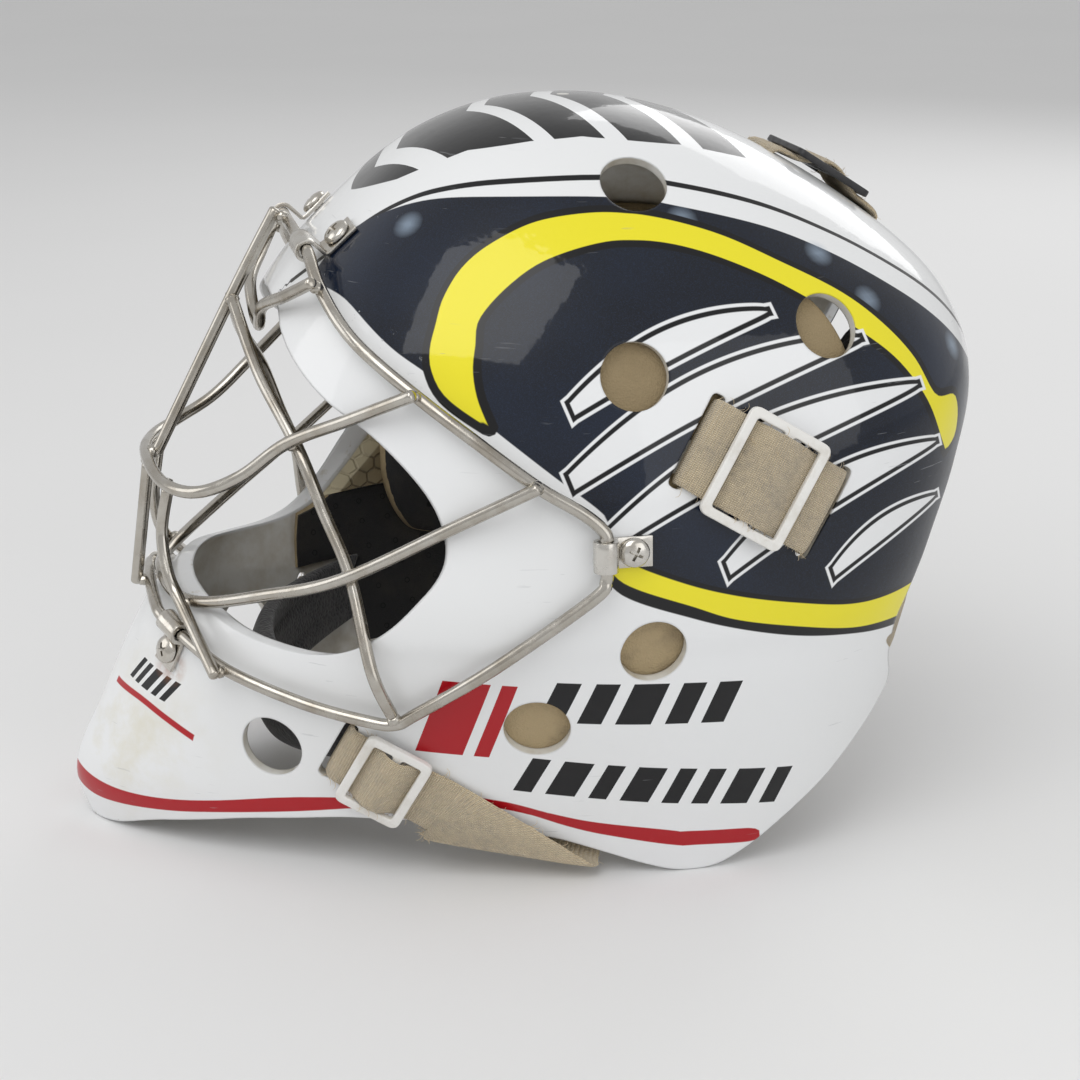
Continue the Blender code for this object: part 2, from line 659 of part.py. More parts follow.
def build_clip(name, place, material, group, cutters):
    """Plate under the screw that rises and curls over the frame's wire."""
    turn = WIRE_RADIUS + 0.5 + CLIP_THICKNESS / 2
    level = GAP + CLIP_THICKNESS / 2
    path = [Vector((-6.0, level)), Vector((place.reach - turn - 1.0, level)),
            Vector((place.reach - turn - 0.2, level + 0.9))]
    steps = 9
    for k in range(steps + 1):
        angle = math.radians(180 - 255 * k / steps)
        path.append(Vector((place.reach + turn * math.cos(angle), place.height + turn * math.sin(angle))))
    outline = strip_outline(path, CLIP_THICKNESS)
    count = len(outline)
    plate_axis = place.frame[1]
    wire_axis = place.wire_axis * (1 if place.wire_axis.dot(plate_axis) > 0 else -1)
    points = []
    for side in (-1, 1):
        for p in outline:
            axis = wire_axis if p.x > place.reach - turn - 1.2 else plate_axis
            points.append(to_world(place.screw, place.frame, (p.x, 0, p.y)) + axis * side * CLIP_WIDTH / 2)
    half = count // 2
    faces = []
    for i in range(count):
        j = (i + 1) % count
        faces.append((i, j, count + j, count + i))
    for i in range(half - 1):
        for base in (0, count):
            faces.append((base + i, base + i + 1, base + count - 2 - i, base + count - 1 - i))
    clip = add_mesh(f"clip_{name}", points, faces, material, group)
    tool = cylinder_cutter(f"cut_clip_{name}", place.screw, place.normal, SCREW_DIAMETER / 2 + GAP,
                           6, cutters, 16)
    cut(clip, tool)
    return clip


def build_screw(name, place, material, group):
    seat = 2 * GAP + CLIP_THICKNESS
    head, shank = SCREW_HEAD_DIAMETER / 2, SCREW_DIAMETER / 2
    tip = -(SHELL_WALL + place.nut_gap + NUT_LENGTH - 0.8)
    profile = [(0, seat + SCREW_HEAD_HEIGHT), (head * 0.45, seat + SCREW_HEAD_HEIGHT * 0.94),
               (head * 0.8, seat + SCREW_HEAD_HEIGHT * 0.7), (head, seat + SCREW_HEAD_HEIGHT * 0.25),
               (head, seat), (shank, seat), (shank, tip + 0.6), (shank - 0.6, tip), (0, tip)]
    return turned(f"screw_{name}", profile, place.screw, place.normal, material, group)


def build_nut(name, place, material, group):
    """Tee nut whose flange lies on the inside of the shell."""
    top = -(SHELL_WALL + place.nut_gap)
    bore = SCREW_DIAMETER / 2 + GAP
    profile = [(NUT_FLANGE_DIAMETER / 2, top), (NUT_FLANGE_DIAMETER / 2, top - NUT_FLANGE_THICKNESS),
               (NUT_BARREL_DIAMETER / 2, top - NUT_FLANGE_THICKNESS),
               (NUT_BARREL_DIAMETER / 2, top - NUT_LENGTH), (bore, top - NUT_LENGTH), (bore, top)]
    return turned(f"tee_nut_{name}", profile, place.screw, place.normal, material, group)


# --- liner -----------------------------------------------------------------------------------------
def grid_solid(name, outer, inner, material, group, closed_columns=False, capped=False):
    """Closed solid between two grids of points (rows of columns) that share their border walls."""
    rows, columns = len(outer), len(outer[0])
    points = [p for row in outer for p in row] + [p for row in inner for p in row]
    shift = rows * columns

    def at(r, c, side):
        return side * shift + r * columns + c % columns
    faces = []
    last = columns if closed_columns else columns - 1
    for r in range(rows - 1):
        for c in range(last):
            for side in (0, 1):
                faces.append((at(r, c, side), at(r + 1, c, side), at(r + 1, c + 1, side),
                              at(r, c + 1, side)))
    for c in range(last):
        if not capped:
            faces.append((at(0, c, 0), at(0, c + 1, 0), at(0, c + 1, 1), at(0, c, 1)))
        faces.append((at(rows - 1, c, 0), at(rows - 1, c + 1, 0), at(rows - 1, c + 1, 1),
                      at(rows - 1, c, 1)))
    if not closed_columns:
        for r in range(rows - 1):
            for c in (0, columns - 1):
                faces.append((at(r, c, 0), at(r + 1, c, 0), at(r + 1, c, 1), at(r, c, 1)))
    if capped:
        faces += [tuple(at(0, c, side) for c in range(columns)) for side in (0, 1)]
    return add_mesh(name, points, faces, material, group)


def crowned(u, v, edge=0.42):
    """Share of a cushion's thickness at u, v in -1..1: full in the middle, drawn in at its border."""
    return edge + (1 - edge) * math.sqrt(max(0.0, 1 - abs(u) ** 3.2)) * math.sqrt(max(0.0, 1 - abs(v) ** 3.2))


def shell_pad(name, angles, heights, thickness, material, group, rows=7, columns=9, depth=None):
    """Cushion on the inside of the shell between two angles and two heights."""
    depth = SHELL_WALL + PAD_GAP if depth is None else depth
    outer, inner = [], []
    for r in range(rows):
        v = -1 + 2 * r / (rows - 1)
        ring_points = []
        for c in range(columns):
            u = -1 + 2 * c / (columns - 1)
            trim = 1 - 0.16 * abs(v) ** 4
            angle = math.radians(0.5 * (angles[0] + angles[1]) + 0.5 * (angles[1] - angles[0]) * u * trim)
            half_height = 0.5 * (heights[1] - heights[0]) * (1 - 0.1 * abs(u) ** 4)
            z = 0.5 * (heights[0] + heights[1]) + half_height * v
            ring_points.append((SHELL.point(SHELL.at_height(z), angle), crowned(u, v)))
        outer.append([SHELL.lifted(p, -depth) for p, _ in ring_points])
        inner.append([SHELL.lifted(p, -depth - thickness * share) for p, share in ring_points])
    return grid_solid(name, outer, inner, material, group)


def build_liner(foam, fabric, group, cutters):
    low, high = BROW_HEIGHT + 5, FOREHEAD_PAD_TOP
    forehead = shell_pad("forehead_pad", (-41, 41), (low, high), FOREHEAD_PAD, foam, group, 7, 13)
    cut_for_nuts(forehead, ("top_l", "top_r"), cutters)
    span = high - low
    shell_pad("sweatband", (-27, 27), (low + 0.22 * span, low + 0.7 * span), SWEATBAND, fabric, group,
              5, 11, depth=SHELL_WALL + PAD_GAP + FOREHEAD_PAD + 0.7)

    reach = 44.0
    columns, rings = 16, (12.0, 24.0, 34.0, reach)
    outer, inner = [], []
    for radius in rings:
        z_points = [crown_ring_point(radius, 2 * math.pi * k / columns) for k in range(columns)]
        depth = SHELL_WALL + PAD_GAP
        share = crowned(radius / reach, 0)
        outer.append([SHELL.lifted(p, -depth) for p in z_points])
        inner.append([SHELL.lifted(p, -depth - CROWN_PAD * share) for p in z_points])
    grid_solid("crown_pad", outer, inner, foam, group, closed_columns=True, capped=True)

    for sign, side in ((1, "l"), (-1, "r")):
        turn = lambda a, b: (a, b) if sign > 0 else (-b, -a)
        shell_pad(f"temple_pad_{side}", turn(80, 116), (156, 204), TEMPLE_PAD, foam, group)
        pad = shell_pad(f"jaw_pad_{side}", turn(66, 101), (62, 147), JAW_PAD, foam, group, 9, 9)
        cut_for_nuts(pad, (f"side_{side}",), cutters)
    build_chin_sling(fabric, group)


def crown_ring_point(radius, angle):
    """Point of the shell's crown about its pole at a horizontal radius."""
    x = radius * math.sin(angle)
    y = STATIONS[0].front - radius * math.cos(angle)
    low, high = 200.0, STATIONS[0].height - 0.02
    for _ in range(30):
        middle = 0.5 * (low + high)
        if SHELL.level(Vector((x, y, middle))) < 0:
            low = middle
        else:
            high = middle
    return Vector((x, y, 0.5 * (low + high)))


def cut_for_nuts(pad, names, cutters):
    """Pockets in a pad for the tee nuts behind it."""
    for name in names:
        place = CLIP_PLACES[name]
        centre = place.screw - place.normal * (SHELL_WALL + NUT_LENGTH / 2)
        tool = cylinder_cutter(f"cut_pocket_{name}", centre, place.normal,
                               NUT_FLANGE_DIAMETER / 2 + 1.2, NUT_LENGTH / 2 + 2.2, cutters, 16)
        cut(pad, tool)


def build_chin_sling(material, group):
    """Padded chin cup slung between the two sides of the jaw."""
    middle_y, half_height = -108.0, 17.0
    end = 1.0
    outer, inner = [], []
    rows, columns = 5, 15
    for r in range(rows):
        v = -1 + 2 * r / (rows - 1)
        line_out, line_in = [], []
        for c in range(columns):
            u = -1 + 2 * c / (columns - 1)
            z = 46 + 6 * abs(u) ** 2 + half_height * v * (1 - 0.35 * abs(u) ** 2)
            anchor = SHELL.lifted(SHELL.side(-62, z), -(SHELL_WALL + 2 * GAP))
            x = anchor.x * u * end
            y = anchor.y + (middle_y - anchor.y) * (1 - abs(u) ** 2.4) + 5 * v * v
            thick = CHIN_CUP * (0.35 + 0.65 * (1 - abs(u) ** 4)) * (1 - 0.35 * v * v)
            line_out.append(Vector((x, y, z)))
            line_in.append(Vector((x * (1 - thick / 160), y + thick, z)))
        outer.append(line_out)
        inner.append(line_in)
    grid_solid("chin_sling", outer, inner, material, group)


# --- backplate -------------------------------------------------------------------------------------
def back_patch(depth, thickness, half_width, bottom, top, rows, columns, crown=False):
    outer, inner = [], []
    for r in range(rows):
        v = -1 + 2 * r / (rows - 1)
        z = 0.5 * (bottom + top) + 0.5 * (top - bottom) * v
        line_out, line_in = [], []
        for c in range(columns):
            u = -1 + 2 * c / (columns - 1)
            x = half_width * u * (1 - 0.28 * abs(v) ** 5)
            p = SHELL.back(x, z)
            share = crowned(u, v) if crown else 1.0
            line_out.append(SHELL.lifted(p, -depth))
            line_in.append(SHELL.lifted(p, -depth - thickness * share))
        outer.append(line_out)
        inner.append(line_in)
    return outer, inner


def build_backplate(plastic, foam, group):
    outer, inner = back_patch(BACKPLATE_DEPTH, BACKPLATE_WALL, BACKPLATE_HALF_WIDTH, BACKPLATE_BOTTOM,
                              BACKPLATE_TOP, 12, 13)
    grid_solid("backplate", outer, inner, plastic, group)
    outer, inner = back_patch(BACKPLATE_DEPTH + BACKPLATE_WALL + PAD_GAP, BACK_PAD,
                              BACKPLATE_HALF_WIDTH - 5, BACKPLATE_BOTTOM + 5, BACKPLATE_TOP - 5, 8, 9, True)
    grid_solid("backplate_pad", outer, inner, foam, group)


# --- straps and sliders ----------------------------------------------------------------------------
STRAP_LIFT = GAP + STRAP_THICKNESS / 2                    # middle of a strap that lies on the shell
STRAP_INSIDE = -(SHELL_WALL + 2.0 + STRAP_THICKNESS / 2)  # and of one that runs inside its curve
STRAP_ON_BACKPLATE = -(BACKPLATE_DEPTH - 0.7 - STRAP_THICKNESS / 2)
SLIDER_LIFT = 2 * GAP + STRAP_THICKNESS                   # underside of a slider over the shell
STRAP_OVER_BAR = SLIDER_LIFT + SLIDER_THICKNESS + STRAP_LIFT


def band(name, stops, width, material, group):
    """Strap through stops of (point, direction across): sections mitred at each bend.

    A direction longer than 1 is a slanting fold, whose section keeps that slant and length."""
    count = len(stops)
    points = []
    for i, (here, across) in enumerate(stops):
        before = stops[max(i - 1, 0)][0]
        after = stops[min(i + 1, count - 1)][0]
        come = (here - before).normalized() if i > 0 else (after - here).normalized()
        leave = (after - here).normalized() if i < count - 1 else come
        along = (come + leave).normalized()
        if across.length < 1.01:
            across = (across - along * across.dot(along)).normalized()
        up = along.cross(across).normalized()
        widen = 1.0 / max(0.5, along.dot(come))
        for a, b in ((-1, -1), (1, -1), (1, 1), (-1, 1)):
            points.append(here + across * (a * width / 2) + up * (b * STRAP_THICKNESS / 2 * widen))
    faces = [(0, 1, 2, 3), tuple(4 * (count - 1) + k for k in range(4))]
    for i in range(count - 1):
        for k in range(4):
            a, b = 4 * i + k, 4 * i + (k + 1) % 4
            faces.append((a, b, b + 4, a + 4))
    return add_mesh(name, points, faces, material, group, sharp=30)


def side_strap_point(sign, share):
    """Point of the shell's outside along the side strap, from its front slot (0) to its rear slot (1)."""
    (y0, z0), (y1, z1) = SIDE_SLOTS
    return SHELL.side(y0 + (y1 - y0) * share, z0 + (z1 - z0) * share, sign)


def lower_strap_point(sign, share):
    (y0, z0), (y1, z1) = LOWER_SLOT, LOWER_STRAP_RIM
    return SHELL.side(y0 + (y1 - y0) * share, z0 + (z1 - z0) * share, sign)


def crown_strap_point(share):
    return crown_point(CROWN_SLOTS[0] + (CROWN_SLOTS[1] - CROWN_SLOTS[0]) * share)


def weave(middle, along, length):
    """Stops of a strap that runs under a slider's end bars and over its middle bar."""
    frame = axes_from(SHELL.normal(middle), along)
    window = length / 2 - SLIDER_BAR
    stops = [(-length / 2 - 1.5, STRAP_LIFT), (-window + 0.4, STRAP_LIFT), (-2.3, STRAP_OVER_BAR)]
    stops += [(-x, height) for x, height in reversed(stops)]
    return [(to_world(middle, frame, (x, 0, height)), frame[1].copy()) for x, height in stops]


def build_slider(name, origin, normal, along, length, width, material, group):
    """Three-bar slide: a flat plate with two windows."""
    curve = bpy.data.curves.new(name, "CURVE")
    curve.dimensions = "2D"
    curve.fill_mode = "BOTH"
    curve.extrude = SLIDER_THICKNESS / 2 * MM

    def loop(x0, x1, y0, y1, corner):
        spline = curve.splines.new("POLY")
        outline = rounded([(x0, y0), (x1, y0), (x1, y1), (x0, y1)], corner)
        spline.points.add(len(outline) - 1)
        for point, (x, y) in zip(spline.points, outline):
            point.co = (x * MM, y * MM, 0, 1)
        spline.use_cyclic_u = True
    loop(-length / 2, length / 2, -width / 2, width / 2, 2.5)
    inside = width / 2 - SLIDER_BAR
    loop(SLIDER_BAR / 2, length / 2 - SLIDER_BAR, -inside, inside, 0.8)
    loop(-length / 2 + SLIDER_BAR, -SLIDER_BAR / 2, -inside, inside, 0.8)
    item = bpy.data.objects.new(name, curve)
    curve.materials.append(material)
    group.objects.link(item)
    x, y, z = axes_from(normal, along)
    place = placed(origin + z * (SLIDER_LIFT + SLIDER_THICKNESS / 2))
    item.matrix_world = Matrix(((x.x, y.x, z.x, place.x), (x.y, y.y, z.y, place.y),
                                (x.z, y.z, z.z, place.z), (0, 0, 0, 1)))
    return item


def build_side_strap(sign, side, elastic, plastic, group):
    along = side_strap_direction(sign)

    def stop(share, height):
        p = side_strap_point(sign, share)
        normal = SHELL.normal(p)
        return SHELL.lifted(p, height), along.cross(normal)
    stops = [stop(0.0, -SHELL_WALL + 0.4), stop(0.0, STRAP_LIFT)]
    stops += weave(side_strap_point(sign, 0.48), along, SIDE_SLIDER_LENGTH)
    stops += [stop(1.0, STRAP_LIFT), stop(1.0, STRAP_INSIDE)]
    inside = [(77, 125), (86, 118), (96, 112)]
    for y, z in inside:
        p = SHELL.side(y, z, sign)
        stops.append((SHELL.lifted(p, STRAP_INSIDE), along.cross(SHELL.normal(p))))
    for k in range(8):
        p = SHELL.back((82 - 7 * k) * sign, 109 - 1.4 * k)
        rearwards = Vector((-sign, 0.0, -0.2))
        stops.append((SHELL.lifted(p, STRAP_ON_BACKPLATE), rearwards.cross(SHELL.normal(p))))
    fix_across(stops)
    band(f"side_strap_{side}", stops, SIDE_STRAP_WIDTH, elastic, group)
    middle = side_strap_point(sign, 0.48)
    build_slider(f"side_slider_{side}", middle, SHELL.normal(middle), along, SIDE_SLIDER_LENGTH,
                 SIDE_STRAP_WIDTH + 1.6 + 2 * SLIDER_BAR, plastic, group)


def fix_across(stops):
    """Keeps the across directions of a strap's stops on one side, so that it doesn't twist over."""
    for i in range(1, len(stops)):
        point, across = stops[i]
        if across.dot(stops[i - 1][1]) < 0:
            stops[i] = (point, -across)


def build_lower_strap(sign, side, elastic, plastic, group):
    along = lower_strap_direction(sign)

    def stop(share, height):
        p = lower_strap_point(sign, share)
        return SHELL.lifted(p, height), along.cross(SHELL.normal(p))
    stops = [stop(0.0, -SHELL_WALL + 0.4), stop(0.0, STRAP_LIFT)]
    stops += weave(lower_strap_point(sign, 0.46), along, LOWER_SLIDER_LENGTH)
    stops.append(stop(1.0, STRAP_LIFT))

    def slanted(ends, lift, drop=0.0):
        (y0, z0), (y1, z1) = ends
        middle = SHELL.side(0.5 * (y0 + y1), 0.5 * (z0 + z1), sign)
        across = SHELL.side(y1, z1, sign) - SHELL.side(y0, z0, sign)
        return SHELL.lifted(middle, lift) - Vector((0, 0, drop)), across / LOWER_STRAP_WIDTH
    bulge = 2.2                                     # of the wall over the length of the fold
    stops += [slanted(((-57.5, 17.6), (-23, 22)), STRAP_LIFT + 1.2),
              slanted(LOWER_STRAP_FOLD, STRAP_LIFT + bulge),
              slanted(LOWER_STRAP_FOLD, -SHELL_WALL / 2, STRAP_THICKNESS),
              slanted(LOWER_STRAP_FOLD, -SHELL_WALL - STRAP_LIFT - bulge)]
    for y, z in ((8, 25), (26, 33), (44, 43), (60, NOTCH_HEIGHT - 24), (74, NOTCH_HEIGHT - 13)):
        p = SHELL.side(y, z, sign)
        run = SHELL.side(y + 10, z + 6, sign) - p
        stops.append((SHELL.lifted(p, STRAP_INSIDE - 1), run.cross(SHELL.normal(p)).normalized()))
    for x in (84, 77, 70, 60, 52, 44):
        p = SHELL.back(x * sign, NOTCH_HEIGHT - 7)
        rearwards = Vector((-sign, 0.0, 0.0))
        depth = STRAP_INSIDE if x > 65 else STRAP_ON_BACKPLATE
        stops.append((SHELL.lifted(p, depth), rearwards.cross(SHELL.normal(p)).normalized()))
    fix_across(stops)
    band(f"lower_strap_{side}", stops, LOWER_STRAP_WIDTH, elastic, group)
    middle = lower_strap_point(sign, 0.46)
    build_slider(f"lower_slider_{side}", middle, SHELL.normal(middle), along, LOWER_SLIDER_LENGTH,
                 LOWER_STRAP_WIDTH + 1.6 + 2 * SLIDER_BAR, plastic, group)


def build_crown_strap(elastic, plastic, group):
    across = Vector((1, 0, 0))

    def stop(share, height):
        return SHELL.lifted(crown_strap_point(share), height), across
    stops = [stop(0.0, -SHELL_WALL + 0.4), stop(0.0, STRAP_LIFT)]
    stops += weave(crown_strap_point(0.5), Vector((0, 1, -0.5)), CROWN_SLIDER_LENGTH)
    inside = STRAP_INSIDE - 1.2                     # clear of the wall at the strap's edges
    stops += [stop(1.0, STRAP_LIFT), stop(1.0, inside)]
    for y in (127, 134):
        stops.append((SHELL.lifted(crown_point(y), inside), across))
    stops.append((SHELL.lifted(SHELL.back(0, 181), inside), across))
    for z in (170, 158, 150, 142, 134):
        stops.append((SHELL.lifted(SHELL.back(0, z), STRAP_ON_BACKPLATE), across))
    band("crown_strap", stops, CROWN_STRAP_WIDTH, elastic, group)
    middle = crown_strap_point(0.5)
    build_slider("crown_slider", middle, SHELL.normal(middle), Vector((0, 1, -0.5)), CROWN_SLIDER_LENGTH,
                 CROWN_STRAP_WIDTH + 1.6 + 2 * SLIDER_BAR, plastic, group)


# --- main ------------------------------------------------------------------------------------------
def main():
    clear_scene()
    group = make_collection("goalie_mask")
    cutters = make_collection("mask_cutters")
    white = make_material("painted_shell", (0.86, 0.87, 0.88), 0.18)
    steel = make_material("polished_steel", (0.62, 0.60, 0.56), 0.28, 1.0)
    foam = make_material("liner_foam", (0.05, 0.05, 0.05), 0.9)
    fabric = make_material("chin_fabric", (0.06, 0.06, 0.065), 0.9)
    elastic = make_material("strap_elastic", (0.52, 0.43, 0.28), 0.95)
    white_plastic = make_material("slider_plastic", (0.85, 0.85, 0.83), 0.4)
    black_plastic = make_material("backplate_plastic", (0.02, 0.02, 0.022), 0.35)
    build_shell(white, group, cutters)
    build_cage(steel, group)
    for name, place in CLIP_PLACES.items():
        build_clip(name, place, steel, group, cutters)
        build_screw(name, place, steel, group)
        build_nut(name, place, steel, group)
    build_liner(foam, fabric, group, cutters)
    build_backplate(black_plastic, foam, group)
    for sign, side in ((1, "l"), (-1, "r")):
        build_side_strap(sign, side, elastic, white_plastic, group)
        build_lower_strap(sign, side, elastic, white_plastic, group)
    build_crown_strap(elastic, black_plastic, group)


main()
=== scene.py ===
"""Looks of an ice hockey goaltender's mask, built around its packed construction model.

The shell's rings, the cage's wires and the straps' routes repeat the construction's own values. They
are written in millimetres of the design, where the wearer faces -Y and the wearer's left is +X, and
become metres of the frame in placed().
"""

import sys

import json
import logging
import math
from collections.abc import Iterable, Sequence
from dataclasses import dataclass, field
from enum import Enum

import bmesh
import bpy
import numpy as np
from mathutils import Matrix, Vector

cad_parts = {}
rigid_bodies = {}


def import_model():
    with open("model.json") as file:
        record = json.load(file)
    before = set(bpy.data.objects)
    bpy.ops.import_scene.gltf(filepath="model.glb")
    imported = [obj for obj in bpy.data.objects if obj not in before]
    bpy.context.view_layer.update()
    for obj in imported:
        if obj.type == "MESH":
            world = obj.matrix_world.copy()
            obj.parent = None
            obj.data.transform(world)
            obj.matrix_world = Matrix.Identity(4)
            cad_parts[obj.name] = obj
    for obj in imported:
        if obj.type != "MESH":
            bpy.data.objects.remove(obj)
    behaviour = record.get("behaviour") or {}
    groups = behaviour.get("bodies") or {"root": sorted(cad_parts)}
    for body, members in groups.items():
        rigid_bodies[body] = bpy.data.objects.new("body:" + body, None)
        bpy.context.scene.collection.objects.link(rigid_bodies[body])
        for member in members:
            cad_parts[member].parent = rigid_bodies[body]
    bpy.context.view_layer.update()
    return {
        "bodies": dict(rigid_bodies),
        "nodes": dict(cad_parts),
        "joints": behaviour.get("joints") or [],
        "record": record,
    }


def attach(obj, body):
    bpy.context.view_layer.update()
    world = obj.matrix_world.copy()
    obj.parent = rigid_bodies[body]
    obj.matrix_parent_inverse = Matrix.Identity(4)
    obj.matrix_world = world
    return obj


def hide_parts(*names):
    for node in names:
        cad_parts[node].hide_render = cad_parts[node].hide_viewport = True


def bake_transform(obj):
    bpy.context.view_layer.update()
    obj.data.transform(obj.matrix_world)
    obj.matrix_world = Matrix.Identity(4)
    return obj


LOG = logging.getLogger("goalie_mask")
MM = 0.001
GAP = 0.3
Colour = tuple[float, float, float]
Point2 = tuple[float, float]
Stops = list[tuple[Vector, Vector]]


class Side(Enum):
    """The wearer's left or right, as the sign of X."""

    LEFT = 1
    RIGHT = -1

    @property
    def tag(self) -> str:
        """Letter that ends the names of this side's pieces."""
        return "l" if self is Side.LEFT else "r"


class Body(Enum):
    """Bodies of the construction model that pieces ride on."""

    MASK = "mask"
    REAR_PLATE = "rear_plate"
    CROWN_SLIDER = "crown_slider"
    SIDE_SLIDER_L = "side_slider_l"
    SIDE_SLIDER_R = "side_slider_r"
    LOWER_SLIDER_L = "lower_slider_l"
    LOWER_SLIDER_R = "lower_slider_r"


# --- form of the shell ---
class RingForm:
    """Outside of the shell: rings of two joined superellipses, smoothly spaced along the height."""

    def __init__(self, stations: Sequence[Sequence[float]]) -> None:
        """Builds the tables from rows of height, front, rear, half width, widest and two powers."""
        self.rows = np.array(stations, dtype=float)
        steps = np.diff(self.rows, axis=0)
        lengths = np.hypot(np.hypot(steps[:, 3], steps[:, 0]), 0.35 * steps[:, 1])
        self.knots = np.concatenate([[0.0], np.cumsum(lengths)])
        self.samples = np.linspace(0.0, self.knots[-1], 500)
        self.table = np.array([self.ring(t) for t in self.samples])
        self.heights = self.table[:, 0]

    def _neighbour(self, index: int) -> tuple[float, np.ndarray]:
        """Knot and row at an index; past the crown the rings come out again on the other side."""
        if index < 0:
            row = self.rows[1].copy()
            row[1:5] = 2 * self.rows[0][1:5] - row[1:5]
            return -self.knots[1], row
        if index >= len(self.knots):
            return 2 * self.knots[-1] - self.knots[-2], 2 * self.rows[-1] - self.rows[-2]
        return self.knots[index], self.rows[index]

    def ring(self, t: float) -> np.ndarray:
        """Ring at distance t down the shell, as a row of the stations' values."""
        last = len(self.knots) - 2
        i = int(np.clip(np.searchsorted(self.knots, t, side="right") - 1, 0, last))
        (ta, a), (tb, b), (tc, c), (td, d) = [self._neighbour(i + k) for k in (-1, 0, 1, 2)]
        span = tc - tb
        u = (t - tb) / span
        slope_b = (c - a) / (tc - ta) * span
        slope_c = (d - b) / (td - tb) * span
        return ((2 * u**3 - 3 * u**2 + 1) * b + (u**3 - 2 * u**2 + u) * slope_b
                + (3 * u**2 - 2 * u**3) * c + (u**3 - u**2) * slope_c)

    def at_height(self, z: float) -> np.ndarray:
        """Ring at a height."""
        return self.ring(float(np.interp(-z, -self.heights, self.samples)))

    def points(self, ring: np.ndarray, angles: np.ndarray) -> np.ndarray:
        """Points of a ring; angle 0 is the front and a quarter turn the wearer's left.

        Args:
            ring: Row of the stations' values.
            angles: Angles in radians.

        Returns:
            Array of one point a row.
        """
        z, front, rear, half, widest, front_power, rear_power = ring
        s, c = np.sin(angles), np.cos(angles)
        reach = np.where(c > 0, front - widest, rear - widest)
        power = np.where(c > 0, front_power, rear_power)
        x = half * np.sign(s) * np.abs(s) ** (2 / power)
        return np.stack([x, widest + reach * np.abs(c) ** (2 / power), np.full_like(x, z)], axis=1)

    def point(self, ring: np.ndarray, angle: float) -> Vector:
        """One point of a ring at an angle in radians."""
        return Vector(self.points(ring, np.array([angle]))[0])

    def _reach(self, x: float, z: float, rear: bool) -> float:
        """Y of the front or the rear of the shell at a sideways place and height."""
        _, front, back, half, widest, front_power, rear_power = self.at_height(z)
        end, power = (back, rear_power) if rear else (front, front_power)
        return widest + (end - widest) * (1 - min(1.0, abs(x) / half) ** power) ** (1 / power)

    def front(self, x: float, z: float) -> Vector:
        """Point of the front of the shell, also where the face opening is."""
        return Vector((x, self._reach(x, z, False), z))

    def back(self, x: float, z: float) -> Vector:
        """Point of the rear of the shell, also where the rear opening is."""
        return Vector((x, self._reach(x, z, True), z))

    def side(self, y: float, z: float, sign: int = 1) -> Vector:
        """Point of the side of the shell on the left (+1) or the right (-1)."""
        _, front, rear, half, widest, front_power, rear_power = self.at_height(z)
        end, power = (rear, rear_power) if y > widest else (front, front_power)
        share = min(1.0, abs(y - widest) / abs(end - widest))
        return Vector((sign * half * (1 - share**power) ** (1 / power), y, z))

    def levels(self, points: np.ndarray) -> np.ndarray:
        """Level of each point: below 0 inside the shell's outside, above 0 outside it."""
        return self._parts(points)[0]

    def _parts(self, points: np.ndarray) -> tuple[np.ndarray, np.ndarray, np.ndarray]:
        """Level, chart angle in degrees and distance down the shell of each point."""
        x, y, z = points.T
        t = np.interp(-z, -self.heights, self.samples)
        columns = [np.interp(t, self.samples, self.table[:, k]) for k in range(7)]
        _, front, rear, half, widest, front_power, rear_power = columns
        behind = y > widest
        power = np.where(behind, rear_power, front_power)
        reach = np.maximum(np.abs(np.where(behind, rear, front) - widest), 0.01)
        u = np.abs(x) / np.maximum(half, 0.01)
        v = np.abs(y - widest) / reach
        level = (u**power + v**power) ** (1 / power) - 1
        across, along = u ** (power / 2), v ** (power / 2)
        angle = np.degrees(np.arctan2(across, np.where(behind, -along, along)))
        return level, angle, t

    def normal(self, p: Vector) -> Vector:
        """Outward direction at a point."""
        step = 0.2
        top = self.rows[0][0] - 2 * step
        q = np.array((p.x, p.y, min(p.z, top)))
        probes = np.array([q + step * side * axis for axis in np.eye(3) for side in (1, -1)])
        levels = self.levels(probes)
        return Vector(levels[0::2] - levels[1::2]).normalized()

    def lifted(self, p: Vector, distance: float) -> Vector:
        """The point moved along the outward normal; a negative distance goes inside."""
        return p + self.normal(p) * distance

    def chart(self, points: np.ndarray) -> tuple[np.ndarray, np.ndarray, np.ndarray]:
        """Where points lie on the shell.

        Args:
            points: Array of design points.

        Returns:
            Sideways and downward distance in the painter's plane, and the depth below the outside.
        """
        level, angle, t = self._parts(points)
        step = 0.5
        slopes = [(self.levels(points + step * axis) - self.levels(points - step * axis)) / (2 * step)
                  for axis in np.eye(3)]
        steepness = np.maximum(np.sqrt(sum(s**2 for s in slopes)), 1e-4)
        return MM_PER_DEGREE * (angle - 90.0), t, -level / steepness


